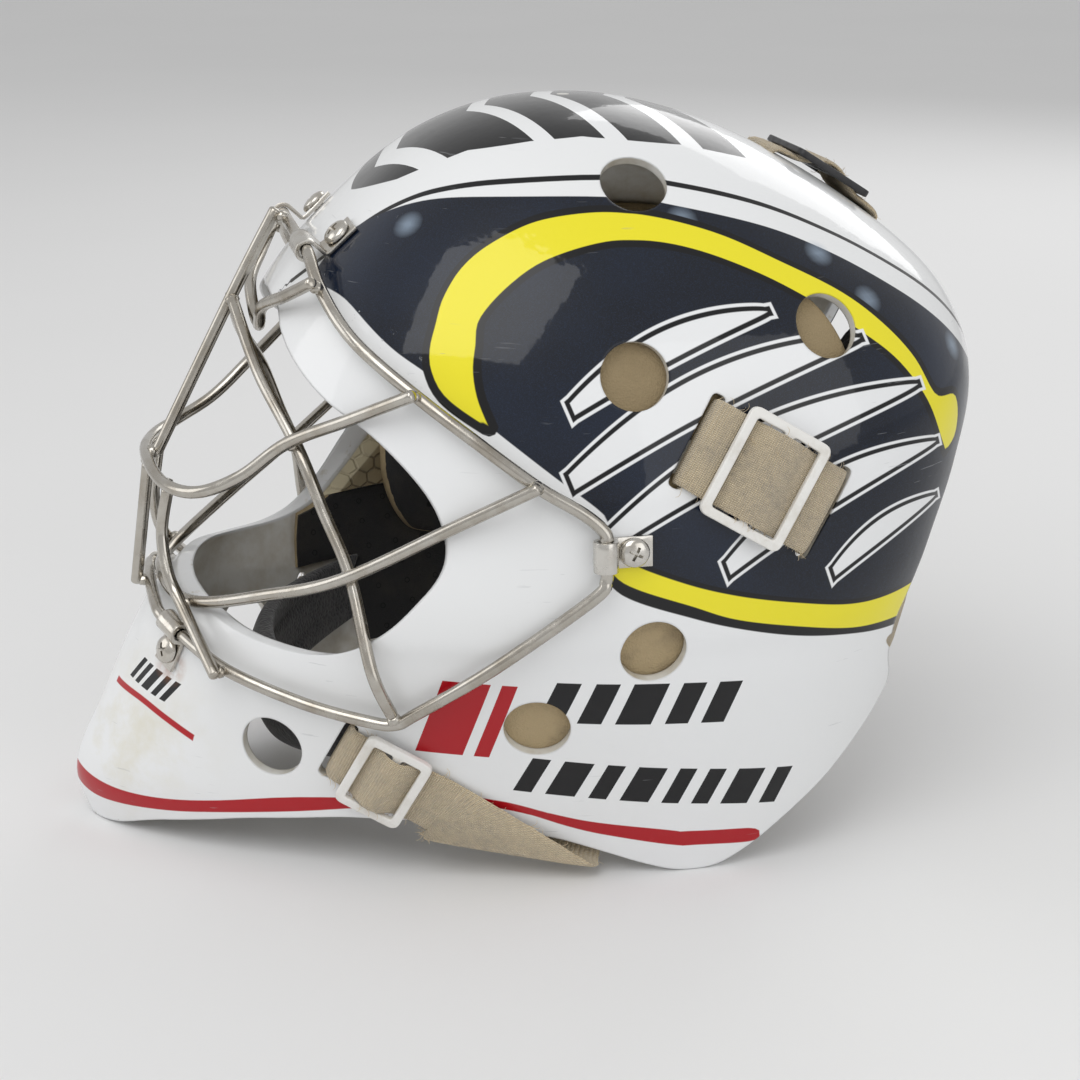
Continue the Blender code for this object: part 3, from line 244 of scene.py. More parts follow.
MM_PER_DEGREE = 1.9           # sideways scale of the painter's plane
STATIONS = (
    (252.0, 8, 8, 0, 8, 2.2, 2.2),
    (248.5, -21, 37, 30, 9, 2.2, 2.2),
    (237.0, -47, 70, 55, 12, 2.3, 2.3),
    (215.0, -73, 108, 77, 15, 2.4, 2.4),
    (190.0, -95, 137, 95, 17, 2.4, 2.6),
    (163.0, -109, 148, 105, 15, 2.2, 2.8),
    (135.0, -119, 146, 110.5, 10, 2.0, 2.8),
    (108.0, -126, 140, 112, 6, 2.0, 2.8),
    (93.0, -127, 136, 111, 6, 2.0, 2.8),
    (84.0, -138, 134, 109, 8, 1.85, 2.8),
    (72.0, -147, 131, 107, 12, 1.75, 2.8),
    (45.0, -160, 124, 101.5, 20, 1.6, 2.8),
    (18.0, -171, 117, 96, 27, 1.5, 2.8),
    (-6.0, -165, 110, 91.5, 32, 1.45, 2.8),
)
FORM = RingForm(STATIONS)
CROWN_Y = STATIONS[0][1]
SHELL_WALL = 3.6
ARCH_TOP = 173.0
NOTCH_HEIGHT = 78.0
BROW_HEIGHT = 189.0
CHIN_LEDGE_HEIGHT = 89.0
PART_CENTRE_Y = 0.5 * (min(s[1] for s in STATIONS) + FORM.back(0, ARCH_TOP).y)


def placed(point: Sequence[float]) -> Vector:
    """A design point in the frame, in metres."""
    return Vector((point[0], point[1] - PART_CENTRE_Y, point[2])) * MM


def design_points(mesh: bpy.types.Mesh) -> np.ndarray:
    """A mesh's vertices as design points."""
    flat = np.zeros(len(mesh.vertices) * 3)
    mesh.vertices.foreach_get("co", flat)
    return flat.reshape(-1, 3) / MM + np.array((0.0, PART_CENTRE_Y, 0.0))


def mirrored(p: Vector, sign: int = -1) -> Vector:
    """A design point on the other side where sign is -1."""
    return Vector((p.x * sign, p.y, p.z))


def smooth_path(points: Sequence[Vector], per_span: int) -> list[Vector]:
    """Catmull-Rom curve through points.

    Args:
        points: Points that the curve passes.
        per_span: Steps from one point to the next.

    Returns:
        Points along the curve, the last one included.
    """
    path = []
    for i in range(len(points) - 1):
        a, b = points[max(i - 1, 0)], points[i]
        c, d = points[i + 1], points[min(i + 2, len(points) - 1)]
        for k in range(per_span):
            u = k / per_span
            path.append(0.5 * ((2 * b) + (c - a) * u + (2 * a - 5 * b + 4 * c - d) * u**2
                               + (3 * b - a - 3 * c + d) * u**3))
    path.append(points[-1])
    return path


def axes_from(normal: Vector, along: Vector) -> tuple[Vector, Vector, Vector]:
    """Right-handed axes whose Z is the normal and whose X is as near along as it can be."""
    z = normal.normalized()
    x = (along - z * along.dot(z)).normalized()
    return x, z.cross(x), z


def to_design(origin: Vector, axes: tuple[Vector, Vector, Vector], local: Sequence[float]) -> Vector:
    """Design point of local coordinates along three axes."""
    return origin + axes[0] * local[0] + axes[1] * local[1] + axes[2] * local[2]


def frame_matrix(origin: Vector, axes: tuple[Vector, Vector, Vector]) -> Matrix:
    """Matrix in metres that takes local axes to the frame at a design point."""
    x, y, z = axes
    where = placed(origin)
    return Matrix(((x.x, y.x, z.x, where.x), (x.y, y.y, z.y, where.y),
                   (x.z, y.z, z.z, where.z), (0, 0, 0, 1)))


# --- mesh helpers ---
def linked(name: str, data: bpy.types.ID) -> bpy.types.Object:
    """Object of a data block, linked to the scene."""
    item = bpy.data.objects.new(name, data)
    bpy.context.scene.collection.objects.link(item)
    return item


def add_piece(name: str, mesh: bpy.types.Mesh, material: bpy.types.Material | None) -> bpy.types.Object:
    """Object of a mesh at the origin, with its material."""
    if material:
        mesh.materials.append(material)
    return linked(name, mesh)


def mesh_of(name: str, points: Iterable[Sequence[float]], faces: Sequence[Sequence[int]]) -> bpy.types.Mesh:
    """Mesh from design points, with its faces turned outwards."""
    mesh = bpy.data.meshes.new(name)
    mesh.from_pydata([placed(p) for p in points], [], faces)
    shape = bmesh.new()
    shape.from_mesh(mesh)
    bmesh.ops.recalc_face_normals(shape, faces=shape.faces)
    shape.to_mesh(mesh)
    shape.free()
    return mesh


def smooth(item: bpy.types.Object, sharp_degrees: float = 40.0) -> bpy.types.Object:
    """Smooth shading with sharp edges over an angle."""
    item.data.shade_smooth()
    item.data.set_sharp_from_angle(angle=math.radians(sharp_degrees))
    return item


def bake(item: bpy.types.Object) -> bpy.types.Object:
    """Takes an object's evaluated mesh in place of its own and removes its modifiers."""
    bpy.context.view_layer.update()
    graph = bpy.context.evaluated_depsgraph_get()
    mesh = bpy.data.meshes.new_from_object(item.evaluated_get(graph), depsgraph=graph)
    mesh.name = item.name
    if item.type == "MESH":
        item.modifiers.clear()
        item.data = mesh
        return item
    name = item.name
    mesh.transform(item.matrix_world)
    bpy.data.objects.remove(item)
    return linked(name, mesh)


def remove(items: Iterable[bpy.types.Object]) -> None:
    """Deletes helper objects."""
    for item in list(items):
        bpy.data.objects.remove(item, do_unlink=True)


def weld_points(item: bpy.types.Object, distance: float = 0.00001) -> bpy.types.Object:
    """Merges the doubled vertices of a mesh and turns its faces outwards."""
    shape = bmesh.new()
    shape.from_mesh(item.data)
    bmesh.ops.remove_doubles(shape, verts=shape.verts, dist=distance)
    bmesh.ops.recalc_face_normals(shape, faces=shape.faces)
    shape.to_mesh(item.data)
    shape.free()
    return item


def cut_with(item: bpy.types.Object, cutters: Sequence[bpy.types.Object], solver: str) -> bpy.types.Object:
    """Cuts each cutter out of an object, bakes the result and deletes the cutters."""
    for cutter in cutters:
        modifier = item.modifiers.new("cut", "BOOLEAN")
        modifier.operation = "DIFFERENCE"
        modifier.solver = solver
        modifier.object = cutter
    bake(item)
    remove(cutters)
    return item


def bevelled(item: bpy.types.Object, width: float, segments: int, degrees: float) -> bpy.types.Object:
    """Breaks the edges that are sharper than an angle by a width in mm, and bakes the object."""
    bevel = item.modifiers.new("broken_edges", "BEVEL")
    bevel.width = width * MM
    bevel.segments = segments
    bevel.limit_method = "ANGLE"
    bevel.angle_limit = math.radians(degrees)
    return bake(item)


def loft_faces(rings: int, sides: int, closed: bool = False) -> list[tuple[int, ...]]:
    """Faces over rings of points, with the two ends capped unless the last ring joins the first."""
    faces = [(i * sides + k, i * sides + (k + 1) % sides,
              (i + 1) % rings * sides + (k + 1) % sides, (i + 1) % rings * sides + k)
             for i in range(rings if closed else rings - 1) for k in range(sides)]
    return faces if closed else faces + [tuple(range(sides)), tuple(range((rings - 1) * sides, rings * sides))]


def prism(outline: Sequence[Point2], axis: str, low: float, high: float) -> bpy.types.Object:
    """Cutter from an outline across an axis: 'X' takes (Y, Z) points and 'Y' takes (X, Z) points."""
    def place(point: Point2, depth: float) -> tuple[float, float, float]:
        """Point of the prism at a depth."""
        return (depth, point[0], point[1]) if axis == "X" else (point[0], depth, point[1])
    points = [place(p, depth) for depth in (low, high) for p in outline]
    return add_piece("cutter", mesh_of("cutter", points, loft_faces(2, len(outline))), None)


def rounded(points: Sequence[Point2], radius: float, steps: int = 5) -> list[Point2]:
    """Outline whose corners are bends of a few points."""
    result = []
    count = len(points)
    for i, point in enumerate(points):
        here = Vector(point)
        before, after = Vector(points[i - 1]) - here, Vector(points[(i + 1) % count]) - here
        reach = min(radius, 0.45 * before.length, 0.45 * after.length)
        a, b = here + before.normalized() * reach, here + after.normalized() * reach
        for k in range(steps):
            u = k / (steps - 1)
            result.append(tuple((1 - u) ** 2 * a + 2 * u * (1 - u) * here + u**2 * b))
    return result


def hole_at(centre: Vector, along: Vector, section: Sequence[Point2], reach: float) -> bpy.types.Object:
    """Cutter of a flat section across the shell's normal at a point, reaching both ways from it."""
    axes = axes_from(FORM.normal(centre), along)
    points = [to_design(centre, axes, (u, v, h)) for h in (-reach, reach) for u, v in section]
    return add_piece("cutter", mesh_of("cutter", points, loft_faces(2, len(section))), None)


def circle(radius: float, sides: int) -> list[Point2]:
    """Points of a circle about the origin."""
    return [(radius * math.cos(2 * math.pi * k / sides), radius * math.sin(2 * math.pi * k / sides))
            for k in range(sides)]


def box_section(length: float, width: float, corner: float, steps: int = 5) -> list[Point2]:
    """Points of a rectangle with round corners about the origin."""
    half, side = length / 2, width / 2
    return rounded([(-half, -side), (half, -side), (half, side), (-half, side)], corner, steps)


def tube(name: str, path: Sequence[Vector], radius: float, material: bpy.types.Material, sides: int = 14,
         closed: bool = False) -> bpy.types.Object:
    """Round wire along a path, with domed ends.

    Args:
        name: Name of the piece.
        path: Design points of the wire's axis.
        radius: Radius in mm.
        material: Finish.
        sides: Facets round the wire.
        closed: Whether the last point joins the first.

    Returns:
        The wire as a mesh object.
    """
    count = len(path)
    tangents = []
    for i in range(count):
        before = path[i - 1] if closed or i else path[0]
        after = path[(i + 1) % count] if closed or i < count - 1 else path[-1]
        tangents.append((after - before).normalized())
    up = tangents[0].orthogonal().normalized()
    rings: list[tuple[Vector, Vector, Vector, float]] = []
    for here, tangent in zip(path, tangents):
        up = (up - tangent * up.dot(tangent)).normalized()
        rings.append((here, up, tangent.cross(up), radius))
    if not closed:
        dome = [(0.35, 0.94), (0.62, 0.78), (0.86, 0.5)]
        first, last = rings[0], rings[-1]
        head = [(first[0] - tangents[0] * radius * 0.6 * out, first[1], first[2], radius * share)
                for out, share in reversed(dome)]
        tail = [(last[0] + tangents[-1] * radius * 0.6 * out, last[1], last[2], radius * share)
                for out, share in dome]
        rings = head + rings + tail
    points = [c + (u * math.cos(2 * math.pi * k / sides) + v * math.sin(2 * math.pi * k / sides)) * r
              for c, u, v, r in rings for k in range(sides)]
    mesh = mesh_of(name, points, loft_faces(len(rings), sides, closed))
    return smooth(add_piece(name, mesh, material), 60)


def turned(profile: Sequence[Point2], sides: int) -> tuple[list[Vector], list[tuple[int, ...]]]:
    """Points and faces of a turned shape from a closed or axis-to-axis profile of (radius, height)."""
    points, faces = [], []
    rows = []
    for radius, height in profile:
        if radius < 1e-6:
            rows.append([len(points)])
            points.append(Vector((0, 0, height)))
        else:
            rows.append(list(range(len(points), len(points) + sides)))
            points += [Vector((x, y, height)) for x, y in circle(radius, sides)]
    for a, b in zip(rows, rows[1:]):
        for k in range(sides):
            n = (k + 1) % sides
            if len(a) == 1:
                faces.append((a[0], b[k], b[n]))
            elif len(b) == 1:
                faces.append((a[k], a[n], b[0]))
            else:
                faces.append((a[k], a[n], b[n], b[k]))
    return points, faces


def grid_solid(outer: list[list[Vector]], inner: list[list[Vector]], closed_columns: bool = False,
               capped: bool = False) -> tuple[list[Vector], list[tuple[int, ...]]]:
    """Points and faces of a closed solid between two grids of points."""
    rows, columns = len(outer), len(outer[0])
    points = [p for row in outer for p in row] + [p for row in inner for p in row]
    shift = rows * columns

    def at(r: int, c: int, side: int) -> int:
        """Index of a grid point."""
        return side * shift + r * columns + c % columns
    faces: list[tuple[int, ...]] = []
    last = columns if closed_columns else columns - 1
    for r in range(rows - 1):
        for c in range(last):
            for side in (0, 1):
                faces.append((at(r, c, side), at(r + 1, c, side), at(r + 1, c + 1, side),
                              at(r, c + 1, side)))
    for c in range(last):
        if not capped:
            faces.append((at(0, c, 0), at(0, c + 1, 0), at(0, c + 1, 1), at(0, c, 1)))
        faces.append((at(rows - 1, c, 0), at(rows - 1, c + 1, 0), at(rows - 1, c + 1, 1),
                      at(rows - 1, c, 1)))
    if not closed_columns:
        for r in range(rows - 1):
            for c in (0, columns - 1):
                faces.append((at(r, c, 0), at(r + 1, c, 0), at(r + 1, c, 1), at(r, c, 1)))
    if capped:
        faces += [tuple(at(0, c, side) for c in range(columns)) for side in (0, 1)]
    return points, faces


def subdivided(item: bpy.types.Object, levels: int) -> bpy.types.Object:
    """Rounds a coarse form by subdivision and bakes it."""
    modifier = item.modifiers.new("round", "SUBSURF")
    modifier.levels = levels
    modifier.render_levels = levels
    return bake(item)


def store(mesh: bpy.types.Mesh, name: str, values: np.ndarray) -> None:
    """Writes one number a vertex under an attribute's name."""
    attribute = mesh.attributes.new(name, "FLOAT", "POINT")
    attribute.data.foreach_set("value", np.asarray(values, dtype=np.float32))


def store_lift(mesh: bpy.types.Mesh) -> None:
    """Marks a solid's first grid as its back (0) and its second as its face (1)."""
    store(mesh, "lift", np.repeat((0.0, 1.0), len(mesh.vertices) // 2))


# --- material helper ---
Socket = bpy.types.NodeSocket


class NodeSheet:
    """A material under construction: short calls that each add one node and hand back its output."""

    def __init__(self, name: str) -> None:
        """Starts a Principled material."""
        self.material = bpy.data.materials.new(name)
        self.material.use_nodes = True
        self.tree = self.material.node_tree
        self.shader = self.tree.nodes["Principled BSDF"]
        self.place = self.add("ShaderNodeTexCoord").outputs["Object"]

    def add(self, kind: str) -> bpy.types.Node:
        """Adds a node."""
        return self.tree.nodes.new(kind)

    def put(self, socket: Socket, value: object) -> None:
        """Links an output to an input, or sets the input's own value."""
        if isinstance(value, bpy.types.NodeSocket):
            self.tree.links.new(value, socket)
        elif isinstance(value, tuple) and socket.type == "RGBA":
            socket.default_value = (*value, 1.0)
        else:
            socket.default_value = value

    def set(self, **values: object) -> None:
        """Sets or links inputs of the shader, named with underscores for spaces."""
        for name, value in values.items():
            self.put(self.shader.inputs[name.replace("_", " ")], value)

    def attribute(self, name: str) -> Socket:
        """Number stored on the mesh."""
        node = self.add("ShaderNodeAttribute")
        node.attribute_name = name
        return node.outputs["Fac"]

    def uv(self) -> Socket:
        """The piece's own UV map."""
        return self.add("ShaderNodeUVMap").outputs["UV"]

    def math(self, operation: str, a: object, b: object = 0.0, c: object = 0.0) -> Socket:
        """Result of a Math node."""
        node = self.add("ShaderNodeMath")
        node.operation = operation
        for socket, value in zip(node.inputs, (a, b, c)):
            self.put(socket, value)
        return node.outputs[0]

    def times(self, a: object, b: object) -> Socket:
        """Product of two numbers."""
        return self.math("MULTIPLY", a, b)

    def remap(self, value: object, low: float, high: float, to_low: float = 0.0,
              to_high: float = 1.0) -> Socket:
        """Value moved from one range to another and held inside it."""
        node = self.add("ShaderNodeMapRange")
        for socket, given in zip(node.inputs, (value, low, high, to_low, to_high)):
            self.put(socket, given)
        return node.outputs[0]

    def within(self, distance: object, edge: float = 0.0, blur: float = 0.16) -> Socket:
        """1 where a distance is below an edge, 0 where it is above."""
        return self.remap(distance, edge + blur, edge - blur)

    def zone(self, name: str, edge: float = 0.0, blur: float = 0.16) -> Socket:
        """1 where the distance stored under a name is below an edge."""
        return self.within(self.attribute(name), edge, blur)

    def mix(self, share: object, a: object, b: object, blend: str = "MIX") -> Socket:
        """Colour a turned towards colour b."""
        node = self.add("ShaderNodeMix")
        node.data_type = "RGBA"
        node.blend_type = blend
        self.put(node.inputs[0], share)
        self.put(node.inputs[6], a)
        self.put(node.inputs[7], b)
        return node.outputs[2]

    def stretch(self, vector: Socket, scale: Sequence[float], turn: Sequence[float] = (0, 0, 0)) -> Socket:
        """Coordinates scaled and turned by a Mapping node."""
        node = self.add("ShaderNodeMapping")
        self.put(node.inputs["Vector"], vector)
        node.inputs["Scale"].default_value = scale
        node.inputs["Rotation"].default_value = turn
        return node.outputs[0]

    def noise(self, scale: float, detail: float = 3.0, rough: float = 0.55,
              vector: Socket | None = None) -> Socket:
        """Noise of a scale per metre."""
        node = self.add("ShaderNodeTexNoise")
        self.put(node.inputs["Vector"], vector or self.place)
        node.inputs["Scale"].default_value = scale
        node.inputs["Detail"].default_value = detail
        node.inputs["Roughness"].default_value = rough
        return node.outputs[0]

    def cells(self, scale: float, output: str = "Distance") -> Socket:
        """Voronoi cells of a scale per metre."""
        node = self.add("ShaderNodeTexVoronoi")
        self.put(node.inputs["Vector"], self.place)
        node.inputs["Scale"].default_value = scale
        return node.outputs[output]

    def bump(self, height: Socket, distance: float, strength: float = 1.0,
             normal: Socket | None = None) -> Socket:
        """Surface normal with relief of a depth in metres."""
        node = self.add("ShaderNodeBump")
        node.inputs["Strength"].default_value = strength
        node.inputs["Distance"].default_value = distance
        self.put(node.inputs["Height"], height)
        if normal:
            self.put(node.inputs["Normal"], normal)
        return node.outputs[0]

    def steps(self, place: object, edges: Sequence[float]) -> Socket:
        """1 and 0 in turns between the edges, which lie in order inside 0..1."""
        node = self.add("ShaderNodeValToRGB")
        node.color_ramp.interpolation = "CONSTANT"
        stops = node.color_ramp.elements
        stops[0].position, stops[0].color = 0.0, (0, 0, 0, 1)
        stops[1].position, stops[1].color = edges[0], (1, 1, 1, 1)
        for number, edge in enumerate(edges[1:]):
            share = number % 2
            stops.new(edge).color = (share, share, share, 1)
        self.put(node.inputs[0], place)
        return node.outputs[0]

    def run_in(self, start: Vector, direction: Vector, u: Socket, v: Socket) -> Socket:
        """Distance from a start in a direction of the plane of two coordinates."""
        part = self.math("MULTIPLY_ADD", v, direction.y, -start.dot(direction))
        return self.math("MULTIPLY_ADD", u, direction.x, part)

    def side_view(self) -> tuple[Socket, Socket]:
        """Design Y and downward Z in mm."""
        parts = self.add("ShaderNodeSeparateXYZ")
        self.put(parts.inputs[0], self.place)
        return (self.math("MULTIPLY_ADD", parts.outputs[1], 1 / MM, PART_CENTRE_Y),
                self.times(parts.outputs[2], -1 / MM))

    def row_of_bars(self, row: "BarRow") -> Socket:
        """1 on the slanted bars of a row."""
        if row.on_side:
            start, end = side_plane([row.start, row.end])
            u, v = self.side_view()
        else:
            start, end = plane([row.start, row.end])
            u, v = self.attribute("sideways"), self.attribute("down")
        along = (end - start).normalized()
        up = Vector((along.y, -along.x))
        high = self.run_in(start, up, u, v)
        far = self.math("SUBTRACT", self.run_in(start, along, u, v),
                        self.times(high, row.slant / row.height))
        edges, place = [], 1.0
        for width in row.widths:
            edges += [place, place + width]
            place += width + row.space
        bars = self.steps(self.math("DIVIDE", far, place), [e / place for e in edges])
        inside = self.math("MINIMUM", high, self.math("SUBTRACT", row.height, high))
        return self.times(bars, self.remap(inside, -0.1, 0.1))

    def slash(self, given: "Slash") -> Socket:
        """Distance to a tapered curved slash of the side view, below 0 inside it."""
        start, end = side_plane([given.start, given.end])
        along = (end - start).normalized()
        across = Vector((-along.y, along.x))
        length = (end - start).length
        u, v = self.side_view()
        share = self.math("DIVIDE", self.run_in(start, along, u, v), length)
        rest = self.math("SUBTRACT", 1.0, share)
        bow = self.times(self.times(share, rest), 4 * given.bend)
        off = self.math("ABSOLUTE", self.math("SUBTRACT", self.run_in(start, across, u, v), bow))
        turn = self.math("SINE", self.remap(share, 0.0, 1.0, 0.12 * math.pi, math.pi))
        half = self.times(self.math("POWER", self.math("MAXIMUM", turn, 0.001), 0.8), given.width / 2)
        past_end = self.math("MAXIMUM", self.times(share, -1.0), self.times(rest, -1.0))
        beyond = self.times(past_end, length)
        return self.math("MAXIMUM", self.math("SUBTRACT", off, half), beyond)

    def hexagons(self, pitch: float) -> Socket:
        """Share of the way from a hexagon's middle to its border, on the stored plane of a sheet."""
        u, v = self.attribute("sideways"), self.attribute("down")
        tall = pitch * math.sqrt(3)

        def fold(value: Socket, size: float, shift: float) -> Socket:
            """Place in its repeat, from the repeat's middle."""
            moved = self.math("FLOORED_MODULO", self.math("ADD", value, shift), size)
            return self.math("SUBTRACT", moved, size / 2)
        pairs = [(fold(u, pitch, s * pitch / 2), fold(v, tall, s * tall / 2)) for s in (0, 1)]
        (ax, ay), (bx, by) = pairs
        far_a, far_b = [self.math("MULTIPLY_ADD", x, x, self.times(y, y)) for x, y in pairs]
        first = self.math("LESS_THAN", far_a, far_b)

        def chosen(a: Socket, b: Socket) -> Socket:
            """The nearer lattice's value, without its sign."""
            step = self.times(self.math("SUBTRACT", a, b), first)
            return self.math("ABSOLUTE", self.math("ADD", b, step))
        x, y = chosen(ax, bx), chosen(ay, by)
        slanted = self.math("MULTIPLY_ADD", y, math.sqrt(3) / 2, self.times(x, 0.5))
        return self.math("DIVIDE", self.math("MAXIMUM", x, slanted), pitch / 2)

    def soft_edges(self, radius: float) -> Socket:
        """Surface normal that rounds the edges by a radius in metres."""
        node = self.add("ShaderNodeBevel")
        node.samples = 6
        node.inputs["Radius"].default_value = radius
        return node.outputs[0]


@dataclass(frozen=True)
class BarRow:
    """Row of slanted bars between two places given as (angle in degrees, distance down in mm)."""

    start: Point2
    end: Point2
    height: float
    widths: tuple[float, ...]
    space: float
    slant: float
    on_side: bool = False


@dataclass(frozen=True)
class Slash:
    """Tapered curved slash from a blunt end to a point, as (angle, distance down), with bow and width."""

    start: Point2
    end: Point2
    bend: float
    width: float


BAR_ROWS = (
    BarRow((73, 257), (100, 262), 15.5, (8, 8, 12, 8, 8), 4.6, 4.5, True),
    BarRow((68, 286), (110, 299), 14, (6, 10, 6, 10, 6, 6, 10, 6), 4.4, 4.0, True),
    BarRow((11, 263), (30, 270), 9, (2.6, 2.6, 4.0, 2.6, 2.6), 1.9, 2.6),
)
RED_BARS = BarRow((58, 271), (70, 273), 29, (15, 5), 3.5, 6, True)
SLASHES = (
    Slash((79, 149), (103, 121), -5, 8.5), Slash((79, 172), (117, 133), -8, 11),
    Slash((85, 191), (127, 151), -9, 11.5), Slash((97, 203), (133, 172), -8, 10.5),
    Slash((113, 209), (137, 192), -4, 7.5),
)


class CrownBars:
    """Chevron bars across the crown: how far they lean, and their widths and slits from front to rear."""

    lean = 0.34
    reach = (-0.100, 0.078)
    widths = ((30, 7), (17, 8), (24, 6), (16, 7), (19, 8), (17, 0))

    @classmethod
    def edges(cls) -> list[float]:
        """Where the bars start and end, as shares of the reach."""
        length = (cls.reach[1] - cls.reach[0]) / MM
        edges, place = [], 0.5
        for width, slit in cls.widths:
            edges += [place / length, (place + width) / length]
            place += width + slit
        return edges


# --- finishes ---
@dataclass(frozen=True)
class ShellPaint:
    """Lacquered shell: white ground, pearl night blue field, yellow, red and black decoration."""

    white: Colour = (0.80, 0.81, 0.82)
    black: Colour = (0.003, 0.003, 0.004)
    pearl: Colour = (0.004, 0.006, 0.012)
    flake: Colour = (0.014, 0.026, 0.058)
    yellow: Colour = (0.82, 0.73, 0.022)
    red: Colour = (0.40, 0.004, 0.010)
    lining: Colour = (0.70, 0.69, 0.65)
    rust: Colour = (0.34, 0.10, 0.012)

    def make(self) -> bpy.types.Material:
        """The shell's material, which reads the painter's distances stored on the mesh."""
        s = NodeSheet("painted_shell")
        grime = s.noise(55, 5, 0.62)
        night = s.attribute("field")
        colour = s.mix(s.remap(s.noise(9, 2), 0.35, 0.7, 0.0, 0.35), self.white, (0.74, 0.745, 0.73))
        stain = s.times(s.zone("stain", 0.0, 14.0), s.remap(grime, 0.42, 0.66))
        colour = s.mix(s.times(stain, 0.30), colour, (0.55, 0.47, 0.20))
        parts = s.add("ShaderNodeSeparateXYZ")
        s.put(parts.inputs[0], s.place)
        rise = s.times(s.math("ABSOLUTE", parts.outputs[0]), -CrownBars.lean)
        reach = s.math("ADD", parts.outputs[1], rise)
        bars = s.steps(s.remap(reach, *CrownBars.reach), CrownBars.edges())
        bars = s.times(bars, s.zone("crown_foot"))
        for row in BAR_ROWS:
            bars = s.math("MAXIMUM", bars, s.row_of_bars(row))
        colour = s.mix(bars, colour, self.black)
        colour = s.mix(s.within(s.math("ABSOLUTE", s.attribute("line")), 1.2), colour, self.black)
        flakes = s.remap(s.cells(5200, output="Color"), 0.55, 0.98)
        pearl = s.mix(s.times(flakes, 0.75), self.pearl, self.flake)
        pearl = s.mix(s.remap(s.noise(16, 2), 0.45, 0.75, 0.0, 0.45), pearl, self.flake)
        colour = s.mix(s.within(night), colour, pearl)
        halo = s.remap(s.attribute("dots"), 5.6, 1.0, 0.0, 0.62)
        colour = s.mix(halo, colour, (0.30, 0.38, 0.48))
        arch = s.attribute("arch")
        colour = s.mix(s.within(arch, 2.7), colour, self.black)
        colour = s.mix(s.within(arch), colour, self.yellow)
        slash = s.slash(SLASHES[0])
        for given in SLASHES[1:]:
            slash = s.math("MINIMUM", slash, s.slash(given))
        for edge, tone in ((2.5, self.white), (1.5, self.black), (0.0, self.white)):
            colour = s.mix(s.within(slash, edge), colour, tone)
        for name, tone in (("stripe_border", self.black), ("stripe", self.yellow), ("red", self.red)):
            colour = s.mix(s.zone(name), colour, tone)
        colour = s.mix(s.row_of_bars(RED_BARS), colour, self.red)
        fine = s.math("MAXIMUM", s.math("SUBTRACT", s.math("ABSOLUTE", s.attribute("chin_line")), 1.1),
                      s.attribute("chin_line_end"))
        colour = s.mix(s.within(fine), colour, self.red)

        near_border = s.remap(s.math("ABSOLUTE", night), 5.5, 0.0)
        chips = s.remap(s.noise(330, 4, 0.7), 0.655, 0.675)
        chips = s.times(chips, s.times(near_border, s.zone("front", 0, 4)))
        colour = s.mix(s.times(chips, 0.9), colour, (0.42, 0.44, 0.45))
        scratch = s.noise(42, 2, 0.5, s.stretch(s.place, (1.0, 1.6, 26.0), (0.5, 0.2, 0.7)))
        scratch = s.times(s.remap(scratch, 0.70, 0.715), s.remap(s.noise(24, 2), 0.56, 0.62))
        colour = s.mix(s.times(scratch, 0.32), colour, (0.30, 0.31, 0.33))
        rim = s.attribute("rim_wear")
        worn = s.times(s.within(rim, 1.4, 1.6), s.remap(s.noise(160, 4, 0.7), 0.55, 0.62))
        colour = s.mix(s.times(worn, 0.75), colour, (0.30, 0.24, 0.17))
        rust = s.times(s.zone("rust", 1.5, 4.5), s.remap(s.noise(240, 4), 0.34, 0.56))
        colour = s.mix(s.times(rust, 0.85), colour, self.rust)

        depth = s.attribute("depth")
        bare = s.mix(s.remap(grime, 0.4, 0.7), self.lining, (0.50, 0.45, 0.36))
        edge = s.times(s.zone("rim", 0.9, 0.5), s.remap(s.noise(120, 4, 0.7), 0.30, 0.40))
        bare = s.mix(edge, bare, self.white)
        colour = s.mix(s.within(depth, 0.45, 0.2), bare, colour)
        s.set(Base_Color=colour)
        s.set(Roughness=s.math("ADD", s.remap(s.within(depth, 0.45, 0.2), 0, 1, 0.55, 0.30),
                               s.remap(grime, 0.5, 0.8, 0.0, 0.10)))
        s.set(Coat_Weight=0.8, Coat_Roughness=0.045, Coat_IOR=1.42, Specular_IOR_Level=0.12)
        relief = s.bump(s.noise(130, 2), 0.00025, 0.35, s.soft_edges(0.0011))
        s.set(Coat_Normal=relief, Normal=relief)
        return s.material


@dataclass(frozen=True)
class Steel:
    """Polished stainless wire and hardware, a little warm, with dull weld colour and fine scratches."""

    name: str = "polished_steel"
    tone: Colour = (0.50, 0.475, 0.43)
    dull: Colour = (0.26, 0.215, 0.155)
    roughness: float = 0.19

    def make(self) -> bpy.types.Material:
        """The steel's material."""
        s = NodeSheet(self.name)
        patch = s.remap(s.noise(70, 4, 0.6), 0.44, 0.70)
        s.set(Base_Color=s.mix(s.times(patch, 0.55), self.tone, self.dull))
        s.set(Metallic=1.0)
        s.set(Roughness=s.remap(s.noise(220, 3, 0.6), 0.3, 0.75, self.roughness - 0.08,
                                self.roughness + 0.16))
        s.set(Normal=s.bump(s.noise(900, 3, 0.6), 0.00012, 0.16))
        return s.material


